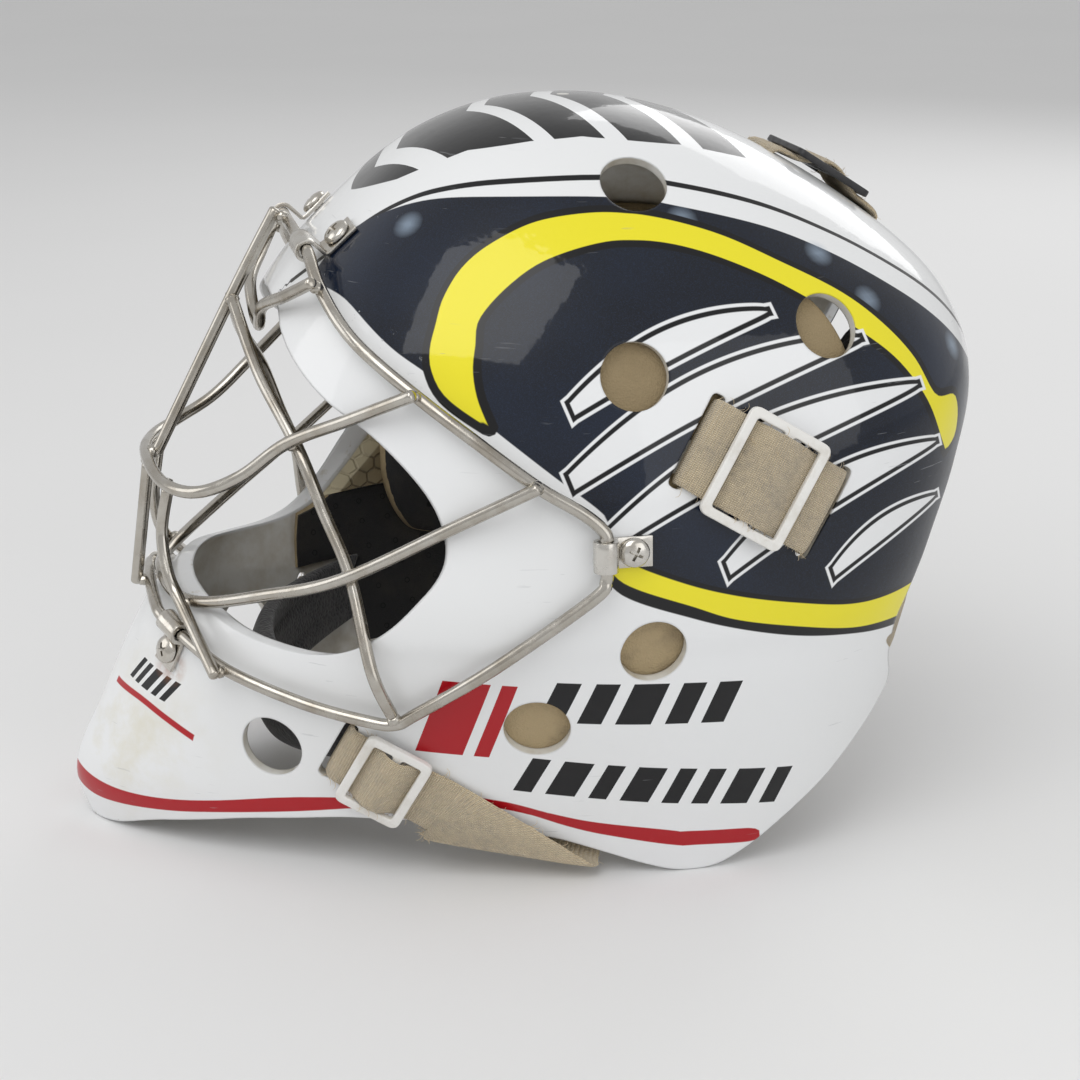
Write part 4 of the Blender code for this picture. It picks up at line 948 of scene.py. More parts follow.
@dataclass(frozen=True)
class Foam:
    """Closed-cell liner foam: one colour on its faces, another on the side laid on the shell."""

    name: str
    face: Colour
    back: Colour
    dirt: Colour = (0.05, 0.042, 0.032)
    roughness: float = 0.85

    def make(self) -> bpy.types.Material:
        """The foam's material, which reads how far a point is from the pad's back."""
        s = NodeSheet(self.name)
        blotch = s.noise(48, 5, 0.6)
        lift = s.attribute("lift")
        border = s.math("ADD", lift, s.remap(s.noise(300, 3), 0.3, 0.7, -0.05, 0.05))
        colour = s.mix(s.remap(border, 0.72, 0.78), self.back, self.face)
        colour = s.mix(s.remap(blotch, 0.48, 0.74, 0.0, 0.5), colour, self.dirt)
        s.set(Base_Color=colour, Roughness=self.roughness)
        pores = s.cells(1500)
        s.set(Normal=s.bump(s.math("ADD", pores, s.noise(420, 4)), 0.0005, 0.5))
        return s.material


@dataclass(frozen=True)
class Cloth:
    """Knitted lining fabric with a fine mesh, painted paler on its raised threads and darker in the mesh's
    hollows as light and shade.
    """

    name: str
    face: Colour
    thread: Colour
    roughness: float = 0.92

    def make(self) -> bpy.types.Material:
        """The fabric's material on the piece's own place."""
        s = NodeSheet(self.name)
        loops = s.cells(820)
        fade = s.noise(36, 4, 0.6)
        # thread colour on the raised cell borders, face colour in the hollows: painted light and shade
        colour = s.mix(s.remap(loops, 0.25, 0.55), self.face, self.thread)
        colour = s.mix(s.remap(fade, 0.46, 0.75, 0.0, 0.45), colour, (0.11, 0.105, 0.10))
        s.set(Base_Color=colour, Roughness=self.roughness, Sheen_Weight=0.25, Sheen_Roughness=0.5)
        s.set(Normal=s.bump(loops, 0.0006, 0.6))
        return s.material


@dataclass(frozen=True)
class Elastic:
    """Worn beige webbing elastic: crosswise ribs, lengthwise warp, painted highlight on the loops and painted
    shade between them, grey dirt and loose fuzz.
    """

    base: Colour = (0.62, 0.49, 0.30)
    pale: Colour = (0.80, 0.68, 0.47)
    dirt: Colour = (0.30, 0.27, 0.23)
    ribs_per_mm: float = 0.62
    warps_per_mm: float = 0.8

    def make(self) -> bpy.types.Material:
        """The webbing's material; its UV map runs in millimetres across and along the strap."""
        s = NodeSheet("strap_elastic")
        uv = s.uv()
        parts = s.add("ShaderNodeSeparateXYZ")
        s.put(parts.inputs[0], uv)
        wander = s.remap(s.noise(260, 3), 0.2, 0.8, -0.35, 0.35)
        across = s.math("ADD", s.times(parts.outputs[0], self.warps_per_mm * 2 * math.pi), wander)
        along = s.math("ADD", s.times(parts.outputs[1], self.ribs_per_mm * 2 * math.pi), wander)
        half_step = s.times(s.math("SIGN", s.math("SINE", s.times(across, 0.5))), math.pi / 2)
        waves = [s.math("ABSOLUTE", s.math("SINE", v)) for v in (across, s.math("ADD", along, half_step))]
        loops = s.times(*waves)
        mottled = s.noise(520, 5, 0.75)
        dirt = s.times(s.remap(s.noise(75, 5, 0.7), 0.44, 0.70), s.remap(mottled, 0.25, 0.7))
        # paler on the raised loops of the weave and darker in its hollows: painted light and shade
        colour = s.mix(s.remap(loops, 0.05, 0.75), self.base, self.pale)
        colour = s.mix(s.remap(mottled, 0.35, 0.72, 0.0, 0.45), colour, (0.46, 0.36, 0.22))
        colour = s.mix(s.times(dirt, 0.65), colour, self.dirt)
        s.set(Base_Color=colour, Roughness=0.96, Sheen_Weight=0.35, Sheen_Roughness=0.6)
        height = s.math("ADD", loops, s.times(mottled, 0.9))
        s.set(Normal=s.bump(height, 0.0007, 0.9))
        return s.material


@dataclass(frozen=True)
class Plastic:
    """Moulded plastic with fine texture, handling scratches and a little dirt."""

    name: str
    tone: Colour
    dirt: Colour
    roughness: float

    def make(self) -> bpy.types.Material:
        """The plastic's material."""
        s = NodeSheet(self.name)
        smear = s.remap(s.noise(90, 5, 0.65), 0.50, 0.78, 0.0, 0.5)
        s.set(Base_Color=s.mix(smear, self.tone, self.dirt))
        s.set(Roughness=s.remap(s.noise(300, 4), 0.3, 0.7, self.roughness - 0.07, self.roughness + 0.12))
        s.set(Normal=s.bump(s.noise(1500, 3), 0.0001, 0.4))
        return s.material


@dataclass(frozen=True)
class HexLiner:
    """Tan moulded liner sheet with a hexagon relief, painted shade in its grooves and pale cut edges."""

    tone: Colour = (0.30, 0.245, 0.15)
    groove: Colour = (0.17, 0.135, 0.08)
    cut_edge: Colour = (0.62, 0.55, 0.38)
    pitch: float = 6.4

    def make(self) -> bpy.types.Material:
        """The liner's material."""
        s = NodeSheet("hexagon_liner")
        border = s.hexagons(self.pitch)
        # the hexagon borders take a darker colour: painted shade in the grooves of the relief
        colour = s.mix(s.remap(border, 0.84, 0.92), self.tone, self.groove)
        colour = s.mix(s.remap(s.noise(40, 4), 0.45, 0.75, 0.0, 0.4), colour, (0.17, 0.13, 0.075))
        colour = s.mix(s.remap(s.attribute("lift"), 0.9, 0.8), colour, self.cut_edge)
        s.set(Base_Color=colour, Roughness=0.7)
        s.set(Normal=s.bump(s.remap(border, 0.95, 0.82), 0.0006, 0.8))
        return s.material


class Finishes:
    """Every finish of the mask, made once."""

    def __init__(self) -> None:
        """Makes the materials."""
        self.shell = ShellPaint().make()
        self.steel = Steel().make()
        self.hardware = Steel("screw_steel", (0.62, 0.60, 0.56), (0.36, 0.30, 0.22), 0.20).make()
        self.foam = Foam("liner_foam", (0.018, 0.018, 0.019), (0.40, 0.31, 0.18)).make()
        self.tan_foam = Foam("tan_foam", (0.33, 0.26, 0.155), (0.30, 0.23, 0.13), (0.20, 0.15, 0.08)).make()
        self.cloth = Cloth("chin_fabric", (0.022, 0.022, 0.024), (0.06, 0.06, 0.063)).make()
        self.pale_cloth = Cloth("sweatband_fabric", (0.42, 0.40, 0.36), (0.52, 0.50, 0.46)).make()
        self.elastic = Elastic().make()
        self.white_plastic = Plastic("slider_plastic", (0.78, 0.77, 0.74), (0.50, 0.45, 0.36), 0.38).make()
        self.black_plastic = Plastic("backplate_plastic", (0.014, 0.014, 0.016), (0.05, 0.05, 0.05),
                                     0.36).make()
        # near-black discs of painted shade that stand for the depth of the pads' vent holes
        self.hole = Plastic("hole_shadow", (0.004, 0.004, 0.004), (0.01, 0.01, 0.01), 0.9).make()
        self.hexagon = HexLiner().make()


# --- repeated pieces by Geometry Nodes ---
class Scatter:
    """Places copies of one small mesh on listed points, turned by a stored rotation."""

    def __init__(self, name: str, source: bpy.types.Object, material: bpy.types.Material) -> None:
        """Builds the node tree for a source and a finish."""
        self.name = name
        self.source = source
        self.material = material
        self.tree = self._tree()

    def _tree(self) -> bpy.types.NodeTree:
        """Node tree: instances on points, scaled and turned by attributes, made real, with a material."""
        tree = bpy.data.node_groups.new(f"{self.name}_copies", "GeometryNodeTree")
        face = tree.interface
        face.new_socket("Geometry", in_out="INPUT", socket_type="NodeSocketGeometry")
        face.new_socket("Copy of", in_out="INPUT", socket_type="NodeSocketObject")
        face.new_socket("Size", in_out="INPUT", socket_type="NodeSocketFloat")
        face.new_socket("Finish", in_out="INPUT", socket_type="NodeSocketMaterial")
        face.new_socket("Geometry", in_out="OUTPUT", socket_type="NodeSocketGeometry")
        add, link = tree.nodes.new, tree.links.new
        given, result = add("NodeGroupInput"), add("NodeGroupOutput")
        source = add("GeometryNodeObjectInfo")
        link(given.outputs["Copy of"], source.inputs["Object"])
        turn, size = add("GeometryNodeInputNamedAttribute"), add("GeometryNodeInputNamedAttribute")
        turn.data_type = "FLOAT_VECTOR"
        turn.inputs["Name"].default_value = "turn"
        size.data_type = "FLOAT"
        size.inputs["Name"].default_value = "size"
        scale = add("ShaderNodeMath")
        scale.operation = "MULTIPLY"
        link(given.outputs["Size"], scale.inputs[0])
        link(size.outputs["Attribute"], scale.inputs[1])
        copies = add("GeometryNodeInstanceOnPoints")
        link(given.outputs["Geometry"], copies.inputs["Points"])
        link(source.outputs["Geometry"], copies.inputs["Instance"])
        link(turn.outputs["Attribute"], copies.inputs["Rotation"])
        link(scale.outputs[0], copies.inputs["Scale"])
        real, dressed = add("GeometryNodeRealizeInstances"), add("GeometryNodeSetMaterial")
        link(copies.outputs["Instances"], real.inputs["Geometry"])
        link(real.outputs["Geometry"], dressed.inputs["Geometry"])
        link(given.outputs["Finish"], dressed.inputs["Material"])
        link(dressed.outputs["Geometry"], result.inputs["Geometry"])
        return tree

    def on(self, name: str, matrices: Sequence[Matrix], sizes: Sequence[float] | None = None,
           scale: float = 1.0) -> bpy.types.Object:
        """Copies of the source at matrices in metres, as one plain mesh.

        Args:
            name: Name of the piece.
            matrices: Place and turn of each copy.
            sizes: Scale of each copy, or 1 for all.
            scale: Scale of all copies.

        Returns:
            The piece, without modifiers.
        """
        mesh = bpy.data.meshes.new(name)
        mesh.from_pydata([m.translation for m in matrices], [], [])
        turns = mesh.attributes.new("turn", "FLOAT_VECTOR", "POINT")
        turns.data.foreach_set("vector", [a for m in matrices for a in m.to_euler()])
        store(mesh, "size", np.array(sizes if sizes is not None else [1.0] * len(matrices)))
        item = add_piece(name, mesh, None)
        modifier = item.modifiers.new("copies", "NODES")
        modifier.node_group = self.tree
        inputs = {entry.name: entry.identifier for entry in self.tree.interface.items_tree
                  if entry.item_type == "SOCKET" and entry.in_out == "INPUT"}
        modifier[inputs["Copy of"]] = self.source
        modifier[inputs["Size"]] = scale
        modifier[inputs["Finish"]] = self.material
        bake(item)
        for spare in ("turn", "size"):
            if spare in item.data.attributes:
                item.data.attributes.remove(item.data.attributes[spare])
        return item

    def done(self) -> None:
        """Deletes the source once its copies are made."""
        remove([self.source])


def local_mesh(name: str, points: Iterable[Vector], faces: Sequence[Sequence[int]]) -> bpy.types.Object:
    """Helper object from points in millimetres about its own origin."""
    mesh = bpy.data.meshes.new(name)
    mesh.from_pydata([p * MM for p in points], [], faces)
    return weld_points(add_piece(name, mesh, None))


# --- painter's layout ---
def plane(points: Sequence[Point2]) -> list[Vector]:
    """Painter's plane points in mm from (angle in degrees, distance down the shell)."""
    return [Vector((MM_PER_DEGREE * (a - 90.0), t)) for a, t in points]


def side_plane(points: Sequence[Point2]) -> list[Vector]:
    """Side view points, Y and downward Z in mm, from (angle in degrees, distance down the shell)."""
    spots = [FORM.point(FORM.ring(t), math.radians(a)) for a, t in points]
    return [Vector((p.y, -p.z)) for p in spots]


def run(points: Sequence[Point2], per_span: int = 6) -> list[Vector]:
    """Smooth border through points of the painter's plane."""
    return smooth_path(plane(points), per_span)


def outline_distance(u: np.ndarray, v: np.ndarray, outline: Sequence[Sequence[float]]) -> np.ndarray:
    """Distance to a closed outline, below 0 inside it."""
    best = np.full_like(u, 1e9)
    inside = np.zeros(u.shape, dtype=bool)
    count = len(outline)
    for i in range(count):
        (ax, ay), (bx, by) = outline[i][:2], outline[(i + 1) % count][:2]
        dx, dy = bx - ax, by - ay
        length = max(dx * dx + dy * dy, 1e-9)
        share = np.clip(((u - ax) * dx + (v - ay) * dy) / length, 0, 1)
        best = np.minimum(best, (u - ax - share * dx) ** 2 + (v - ay - share * dy) ** 2)
        if abs(dy) > 1e-9:
            crossing = ((ay > v) != (by > v)) & (u < dx * (v - ay) / dy + ax)
            inside ^= crossing
    distance = np.sqrt(best)
    return np.where(inside, -distance, distance)


def line_distance(u: np.ndarray, v: np.ndarray, line: Sequence[Vector]) -> np.ndarray:
    """Distance to an open line, with opposite signs on its two sides."""
    best = np.full_like(u, 1e9)
    signed = np.zeros_like(u)
    for a, b in zip(line, line[1:]):
        dx, dy = b[0] - a[0], b[1] - a[1]
        share = np.clip(((u - a[0]) * dx + (v - a[1]) * dy) / max(dx * dx + dy * dy, 1e-9), 0, 1)
        distance = (u - a[0] - share * dx) ** 2 + (v - a[1] - share * dy) ** 2
        nearer = distance < best
        side = np.sign(dx * (v - a[1]) - dy * (u - a[0]))
        signed = np.where(nearer, side * np.sqrt(distance), signed)
        best = np.minimum(best, distance)
    return signed


@dataclass(frozen=True)
class PaintLayout:
    """Borders of the decoration as (angle in degrees from the front, distance down in mm)."""

    field_top: tuple[Point2, ...] = (
        (17, 115), (18, 98), (26, 87), (40, 79), (60, 76), (86, 76), (99, 81), (115, 91), (125, 103),
        (135, 121), (146, 139), (170, 175))
    field_front: tuple[Point2, ...] = (
        (85, 194), (84, 188), (84, 183), (77, 171), (68, 156), (58, 141), (50, 133), (33, 118), (17, 115))
    thin_line: tuple[Point2, ...] = (
        (10, 118), (17, 105), (22, 92), (30, 82), (41, 75), (59, 70), (86, 68), (103, 73), (120, 83),
        (132, 97), (142, 115), (154, 137), (165, 155))
    arch_outer: tuple[Point2, ...] = (
        (67, 155), (60, 146), (57, 138), (56, 131), (56, 123), (56, 113), (58, 102), (63, 93), (72, 85),
        (85, 82), (94, 85), (104, 93), (112, 105), (119, 117), (124, 130), (128, 142), (132, 156),
        (140, 159), (142, 172), (138, 177))
    arch_inner: tuple[Point2, ...] = (
        (138, 177), (133, 167), (124, 143), (118, 131), (113, 121), (106, 108), (98, 98), (90, 93),
        (83, 94), (74, 100), (68, 109), (64, 120), (64, 129), (64, 137), (65, 146), (67, 155))
    stripe_upper: tuple[Point2, ...] = (
        (84, 190), (88, 198), (93, 207), (99, 213), (108, 218), (118, 222), (128, 223), (150, 222))
    stripe_lower: tuple[Point2, ...] = (
        (150, 236), (128, 234), (119, 232), (109, 227), (99, 221), (94, 215), (88, 205), (84, 194))
    stripe_pin: tuple[Point2, ...] = (
        (150, 240), (128, 237), (120, 235), (109, 231), (100, 225), (94, 219), (88, 209), (83, 196))
    chin_red: tuple[Point2, ...] = (
        (-6, 300), (4, 301), (14, 304), (21, 305), (28, 304), (35, 301), (45, 295), (56, 292),
        (60, 294), (52, 297), (45, 301), (35, 306), (28, 309), (19, 311), (11, 311), (2, 308), (-6, 307))
    wing_red: tuple[Point2, ...] = (
        (60, 288), (67, 291), (72, 296), (77, 300), (86, 304), (92, 306), (101, 308), (101, 313),
        (92, 312), (85, 310), (77, 305), (73, 301), (69, 296), (62, 291))
    chin_line: tuple[Point2, ...] = ((4, 266), (7, 267), (17, 269), (24, 273), (30, 278), (33, 281))
    chin_line_ends: Point2 = (7, 30)
    dots: tuple[Point2, ...] = ((38, 89), (98, 86), (122, 103), (124, 121), (144, 143))
    crown_foot: tuple[Point2, ...] = ((0, 84), (20, 74), (40, 57), (64, 50), (84, 47), (118, 55), (145, 69),
                                      (158, 80), (180, 90))
    stain_centre: Point2 = (16, 284)

    def distances(self, points: np.ndarray, u: np.ndarray, v: np.ndarray) -> dict[str, np.ndarray]:
        """Every painted distance at points of the shell.

        Args:
            points: Design points.
            u: Their sideways places in the painter's plane.
            v: Their downward places in it.

        Returns:
            Attribute name to distances in mm.
        """
        foot_line = [(a, t + 4) for a, t in reversed(self.stripe_upper[1:-1])]
        field = run(self.field_top) + run(((170, 226), *foot_line)) + run(self.field_front)
        upper = side_plane(self.stripe_upper)
        stripe = smooth_path(upper, 6) + smooth_path(side_plane(self.stripe_lower), 6)
        pin = smooth_path(side_plane(self.stripe_pin), 6)
        border = smooth_path([p - Vector((0, 1.8)) for p in upper], 6) + pin
        y, down = points[:, 1], -points[:, 2]
        reds = [run(self.chin_red, 4), run(self.wing_red, 4)]
        foot = plane(self.crown_foot)
        ends = plane([(a, 0) for a in self.chin_line_ends])
        stain = plane([self.stain_centre])[0]

        def nearest(outlines: Sequence[Sequence[Vector]]) -> np.ndarray:
            """Distance to the nearest of several outlines."""
            return np.min([outline_distance(u, v, o) for o in outlines], axis=0)
        return {
            "field": outline_distance(u, v, field),
            "line": line_distance(u, v, run(self.thin_line)),
            "arch": outline_distance(u, v, run(self.arch_outer) + run(self.arch_inner)),
            "stripe": outline_distance(y, down, stripe),
            "stripe_border": outline_distance(y, down, border),
            "crown_foot": v - np.interp(u, [p.x for p in foot], [p.y for p in foot]),
            "sideways": u,
            "down": v,
            "red": nearest(reds),
            "chin_line": line_distance(u, v, run(self.chin_line)),
            "chin_line_end": np.maximum(ends[0].x - u, u - ends[1].x),
            "stain": np.hypot(u - stain.x, v - stain.y) - 26.0,
        }


# --- shell ---
FACE_CUT = (-260.0, -15.0)          # Y that the face opening's cutter spans
REAR_CUT = (45.0, 260.0)            # Y that the rear arch's cutter spans
HOLE_TURN = Vector((0.3, 0.9, 0.2))


@dataclass
class Shell:
    """Moulded shell with its face and rear openings, vents, strap slots and screw holes."""

    finishes: Finishes
    clips: dict[str, "ClipPlace"]
    columns: int = 384
    rows: int = 140
    wall: float = SHELL_WALL
    vent_diameter: float = 22.0
    slot_width: float = 5.0
    screw_hole: float = 5.6
    vents: tuple[Point2, ...] = ((17, 231), (74, 188), (8, 177), (13, 88), (-23, 60), (-106, 45))
    layout: PaintLayout = field(default_factory=PaintLayout)

    def face_opening(self) -> list[Point2]:
        """Outline of the face opening in X and Z."""
        half = [(0, BROW_HEIGHT), (22, BROW_HEIGHT - 1), (36, BROW_HEIGHT - 7), (50, BROW_HEIGHT - 14),
                (66, 166), (81, 157), (92, 143), (98, 127), (98.5, 113), (93, 98), (84, 87), (74, 82.5),
                (60, 83.5), (40, CHIN_LEDGE_HEIGHT - 2), (20, CHIN_LEDGE_HEIGHT - 0.5),
                (0, CHIN_LEDGE_HEIGHT)]
        right = [tuple(p) for p in smooth_path([Vector(p) for p in half], 7)]
        return right + [(-x, z) for x, z in reversed(right[1:-1])]

    def rear_arch(self) -> list[Point2]:
        """Outline of the rear opening in X and Z."""
        top = [(0, ARCH_TOP), (30, ARCH_TOP), (50, ARCH_TOP - 3), (62, ARCH_TOP - 11), (68, 150), (74, 137),
               (80, 120), (84, 98), (86.5, NOTCH_HEIGHT + 4), (84, NOTCH_HEIGHT - 9), (77, NOTCH_HEIGHT - 19),
               (76, -20)]
        return rounded(top + [(-x, z) for x, z in reversed(top[1:])], 9.0, 6)

    def underside(self) -> list[Point2]:
        """Side view of what is cut off below the chin, the jaw and the wings, in Y and Z."""
        rim = [(-200, 0), (-160, 0), (-146, 7), (-115, 15), (-83, 20), (-50, 21), (-14, 15), (1, 9.5),
               (16, 3.5), (27, 0), (41, 0), (53, 7), (81, 29), (101, 49), (109, 60), (109.5, 66),
               (99, NOTCH_HEIGHT), (200, NOTCH_HEIGHT), (200, -40), (-200, -40)]
        return rounded(rim, 6.0, 6)

    def blank(self) -> bpy.types.Object:
        """The closed, uncut shell: a fine skin with its wall inside."""
        dense = np.linspace(0.0, 2 * math.pi, 4001)
        line = FORM.points(FORM.at_height(125.0), dense)
        length = np.concatenate([[0.0], np.cumsum(np.linalg.norm(np.diff(line, axis=0), axis=1))])
        angles = np.interp(np.linspace(0.0, length[-1], self.columns, endpoint=False), length, dense)
        points = [np.array([[0.0, CROWN_Y, STATIONS[0][0]]])]
        levels = np.linspace(0.0, FORM.knots[-1], self.rows + 1)[1:]
        points += [FORM.points(FORM.ring(t), angles) for t in levels]
        count = self.columns
        faces = [(0, 1 + k, 1 + (k + 1) % count) for k in range(count)]
        for row in range(self.rows - 1):
            a, b = 1 + row * count, 1 + (row + 1) * count
            faces += [(a + k, b + k, b + (k + 1) % count, a + (k + 1) % count) for k in range(count)]
        mesh = mesh_of("mask_shell", np.concatenate(points), faces)
        shell = add_piece("mask_shell", mesh, self.finishes.shell)
        wall = shell.modifiers.new("wall", "SOLIDIFY")
        wall.thickness = self.wall * MM
        wall.offset = -1.0
        wall.use_even_offset = True
        return bake(shell)

    def cutters(self) -> list[bpy.types.Object]:
        """Cutters of every opening, slot and hole."""
        tools = [prism(self.face_opening(), "Y", *FACE_CUT), prism(self.rear_arch(), "Y", *REAR_CUT),
                 prism(self.underside(), "X", -160, 160)]
        vent, screw_hole = circle(self.vent_diameter / 2, 56), circle(self.screw_hole / 2, 20)
        for sign in (side.value for side in Side):
            tools += [hole_at(FORM.side(y, z, sign), HOLE_TURN, vent, 14) for y, z in self.vents]
            tools += [self.slot(FORM.side(y, z, sign), Harness.side_direction(sign), Harness.side_width)
                      for y, z in Harness.side_slots]
            tools.append(self.slot(FORM.side(*Harness.lower_slot, sign), Harness.lower_direction(sign),
                                   Harness.lower_width))
        tools += [hole_at(place.screw, HOLE_TURN, screw_hole, 9) for place in self.clips.values()]
        tools += [self.slot(crown_point(y), Harness.crown_direction, Harness.crown_width)
                  for y in Harness.crown_slots]
        return tools

    def slot(self, centre: Vector, along: Vector, strap_width: float) -> bpy.types.Object:
        """Cutter of a slot across a strap."""
        return hole_at(centre, along, box_section(self.slot_width, strap_width + 3, 2.2), 8)

    def paint(self, mesh: bpy.types.Mesh) -> None:
        """Stores the painter's distances on the shell's vertices."""
        points = design_points(mesh)
        u, v, depth = FORM.chart(points)
        distances = self.layout.distances(points, u, v)
        x, y, z = points.T
        folded = points.copy()
        folded[:, 0] = np.abs(folded[:, 0])
        dots = [FORM.point(FORM.ring(t), math.radians(a)) for a, t in self.layout.dots]
        distances["dots"] = np.min([np.linalg.norm(folded - np.array(p), axis=1) for p in dots], axis=0)
        distances["front"] = points[:, 1] + 55.0
        distances["rim_wear"] = points[:, 2] - np.where(points[:, 1] < -120, 2.5, -5.0)
        screw = self.clips["chin_l"].screw
        below = points - np.array((screw.x, screw.y, screw.z - 5.0))
        below[:, 0] = np.abs(points[:, 0]) - screw.x
        distances["rust"] = np.linalg.norm(below, axis=1) - 3.0
        distances["depth"] = depth
        openings = ((self.face_opening(), x, z, y > FACE_CUT[1]), (self.rear_arch(), x, z, y < REAR_CUT[0]),
                    (self.underside(), y, z, False))
        distances["rim"] = np.min([np.where(elsewhere, 50.0, np.abs(outline_distance(p, q, outline)))
                                   for outline, p, q, elsewhere in openings], axis=0)
        for name, values in distances.items():
            store(mesh, name, values)

    def build(self) -> None:
        """Makes the shell and puts it in the construction's place."""
        shell = cut_with(self.blank(), self.cutters(), "MANIFOLD")
        smooth(shell, 32)
        self.paint(shell.data)
        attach(shell, Body.MASK.value)
        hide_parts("shell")
        LOG.info("shell: %d vertices", len(shell.data.vertices))


# --- cage ---
WIRE_RADIUS = 2.1
WIRE_STEP = 2 * WIRE_RADIUS + GAP
CLIP_THICKNESS = 1.4
CLIP_REACH = 9.8


def screw_place(wire: Vector, wire_axis: Vector, towards: Vector, on_side: bool) -> Vector:
    """Point of the shell where the screw goes of a clip that holds the wire."""
    out = FORM.normal(wire)
    across = wire_axis.cross(out).normalized()
    if across.dot(towards) < 0:
        across = -across
    low, high = 0.3 * CLIP_REACH, 2.2 * CLIP_REACH
    screw = wire
    for _ in range(30):
        middle = 0.5 * (low + high)
        guess = wire + across * middle
        screw = FORM.side(guess.y, guess.z) if on_side else FORM.front(guess.x, guess.z)
        gap = wire - screw
        gap -= FORM.normal(screw) * gap.dot(FORM.normal(screw))
        low, high = (middle, high) if gap.length < CLIP_REACH else (low, middle)
    return screw


class CageFrame:
    """Left half of the wire frame that carries the cage, from the top middle to the front middle."""

    standoff = 5.0
    brow_standoff = 8.0

    def __init__(self) -> None:
        """Works out the frame's points."""
        front, side, lift = FORM.front, FORM.side, FORM.lifted
        near, brow = self.standoff, self.brow_standoff
        straight = [lift(side(-4.2, z), near) for z in (130.5, 126.5, 123, 119.5, 115.5)]
        self.points = {
            "top_middle": lift(front(0, BROW_HEIGHT + 17), brow),
            "top_inner": lift(front(18, BROW_HEIGHT + 16), brow),
            "top_clip": lift(front(28, BROW_HEIGHT + 15), brow - 0.5),
            "top_outer": lift(front(38, BROW_HEIGHT + 12.5), brow - 1.5),
            "brow_corner": lift(front(51, BROW_HEIGHT + 6), near + 0.5),
            "forehead": lift(front(70, 184), near),
            "temple": lift(front(87, 170.5), near),
            "upper_cheek": lift(side(-41, 158), near),
            "cheek": lift(side(-24, 145), near),
            "side_1": lift(side(-10.5, 136.5), near),
            "side_2": straight[0], "side_3": straight[1], "side_clip": straight[2],
            "side_4": straight[3], "side_5": straight[4],
            "side_6": lift(side(-8.5, 109.5), near),
            "lower_cheek": lift(side(-38, 87), near),
            "jaw": lift(side(-60, 68), near),
            "jaw_corner": lift(side(-66, 63.5), near + 0.3),
            "jaw_front": lift(side(-74, 63.5), near + 0.3),
            "mouth_side": lift(front(72, 67), near),
            "mouth": lift(front(55, 73), near),
            "chin_outer": lift(front(39, 77.5), near - 0.3),
            "chin_clip": lift(front(30, 80), near - 0.5),
            "chin_inner": lift(front(21, 82), near - 0.6),
            "bottom_middle": lift(front(0, 84), near - 0.6),
        }
        for before, clip, after in (("top_inner", "top_clip", "top_outer"),
                                    ("chin_outer", "chin_clip", "chin_inner")):
            along = (self.points[after] - self.points[before]).normalized()
            upwards = Vector((0, 0, 1 if clip == "top_clip" else -1))
            normal = FORM.normal(screw_place(self.points[clip], along, upwards, False))
            along = (along - normal * along.dot(normal)).normalized() * 7.5
            self.points[before] = self.points[clip] - along
            self.points[after] = self.points[clip] + along

    def direction(self, name: str) -> Vector:
        """Unit tangent of the frame at one of its points."""
        names = list(self.points)
        i = names.index(name)
        return (self.points[names[i + 1]] - self.points[names[i - 1]]).normalized()

    def stacked(self, name: str, steps: float = 1.0) -> Vector:
        """Axis of a wire that lies on the outside of the frame at one of its points."""
        along = self.direction(name)
        out = FORM.normal(self.points[name])
        out = (out - along * out.dot(along)).normalized()
        return self.points[name] + out * WIRE_STEP * steps


class ClipPlace:
    """Where a clip holds the frame: its wire, its screw and the plane that its plate lies on."""

    def __init__(self, frame: CageFrame, name: str, towards: Vector, sign: int, on_side: bool) -> None:
        """Works out the place from a point of the frame."""
        wire_axis = frame.direction(name)
        screw = screw_place(frame.points[name], wire_axis, towards, on_side)
        self.screw = mirrored(screw, sign)
        self.normal = FORM.normal(self.screw)
        self.wire = mirrored(frame.points[name], sign)
        self.wire_axis = mirrored(wire_axis, sign)
        to_wire = self.wire - self.screw
        to_wire -= self.wire_axis * to_wire.dot(self.wire_axis)
        self.axes = axes_from(self.normal, to_wire)
        self.reach = to_wire.dot(self.axes[0])
        self.height = to_wire.dot(self.normal)


def clip_places(frame: CageFrame) -> dict[str, ClipPlace]:
    """The six clips' places by name."""
    kinds = (("top", "top_clip", Vector((0, 0, 1)), False), ("side", "side_clip", Vector((0, 1, 0)), True),
             ("chin", "chin_clip", Vector((0, 0, -1)), False))
    return {f"{name}_{side.tag}": ClipPlace(frame, point, towards, side.value, on_side)
            for side in Side for name, point, towards, on_side in kinds}


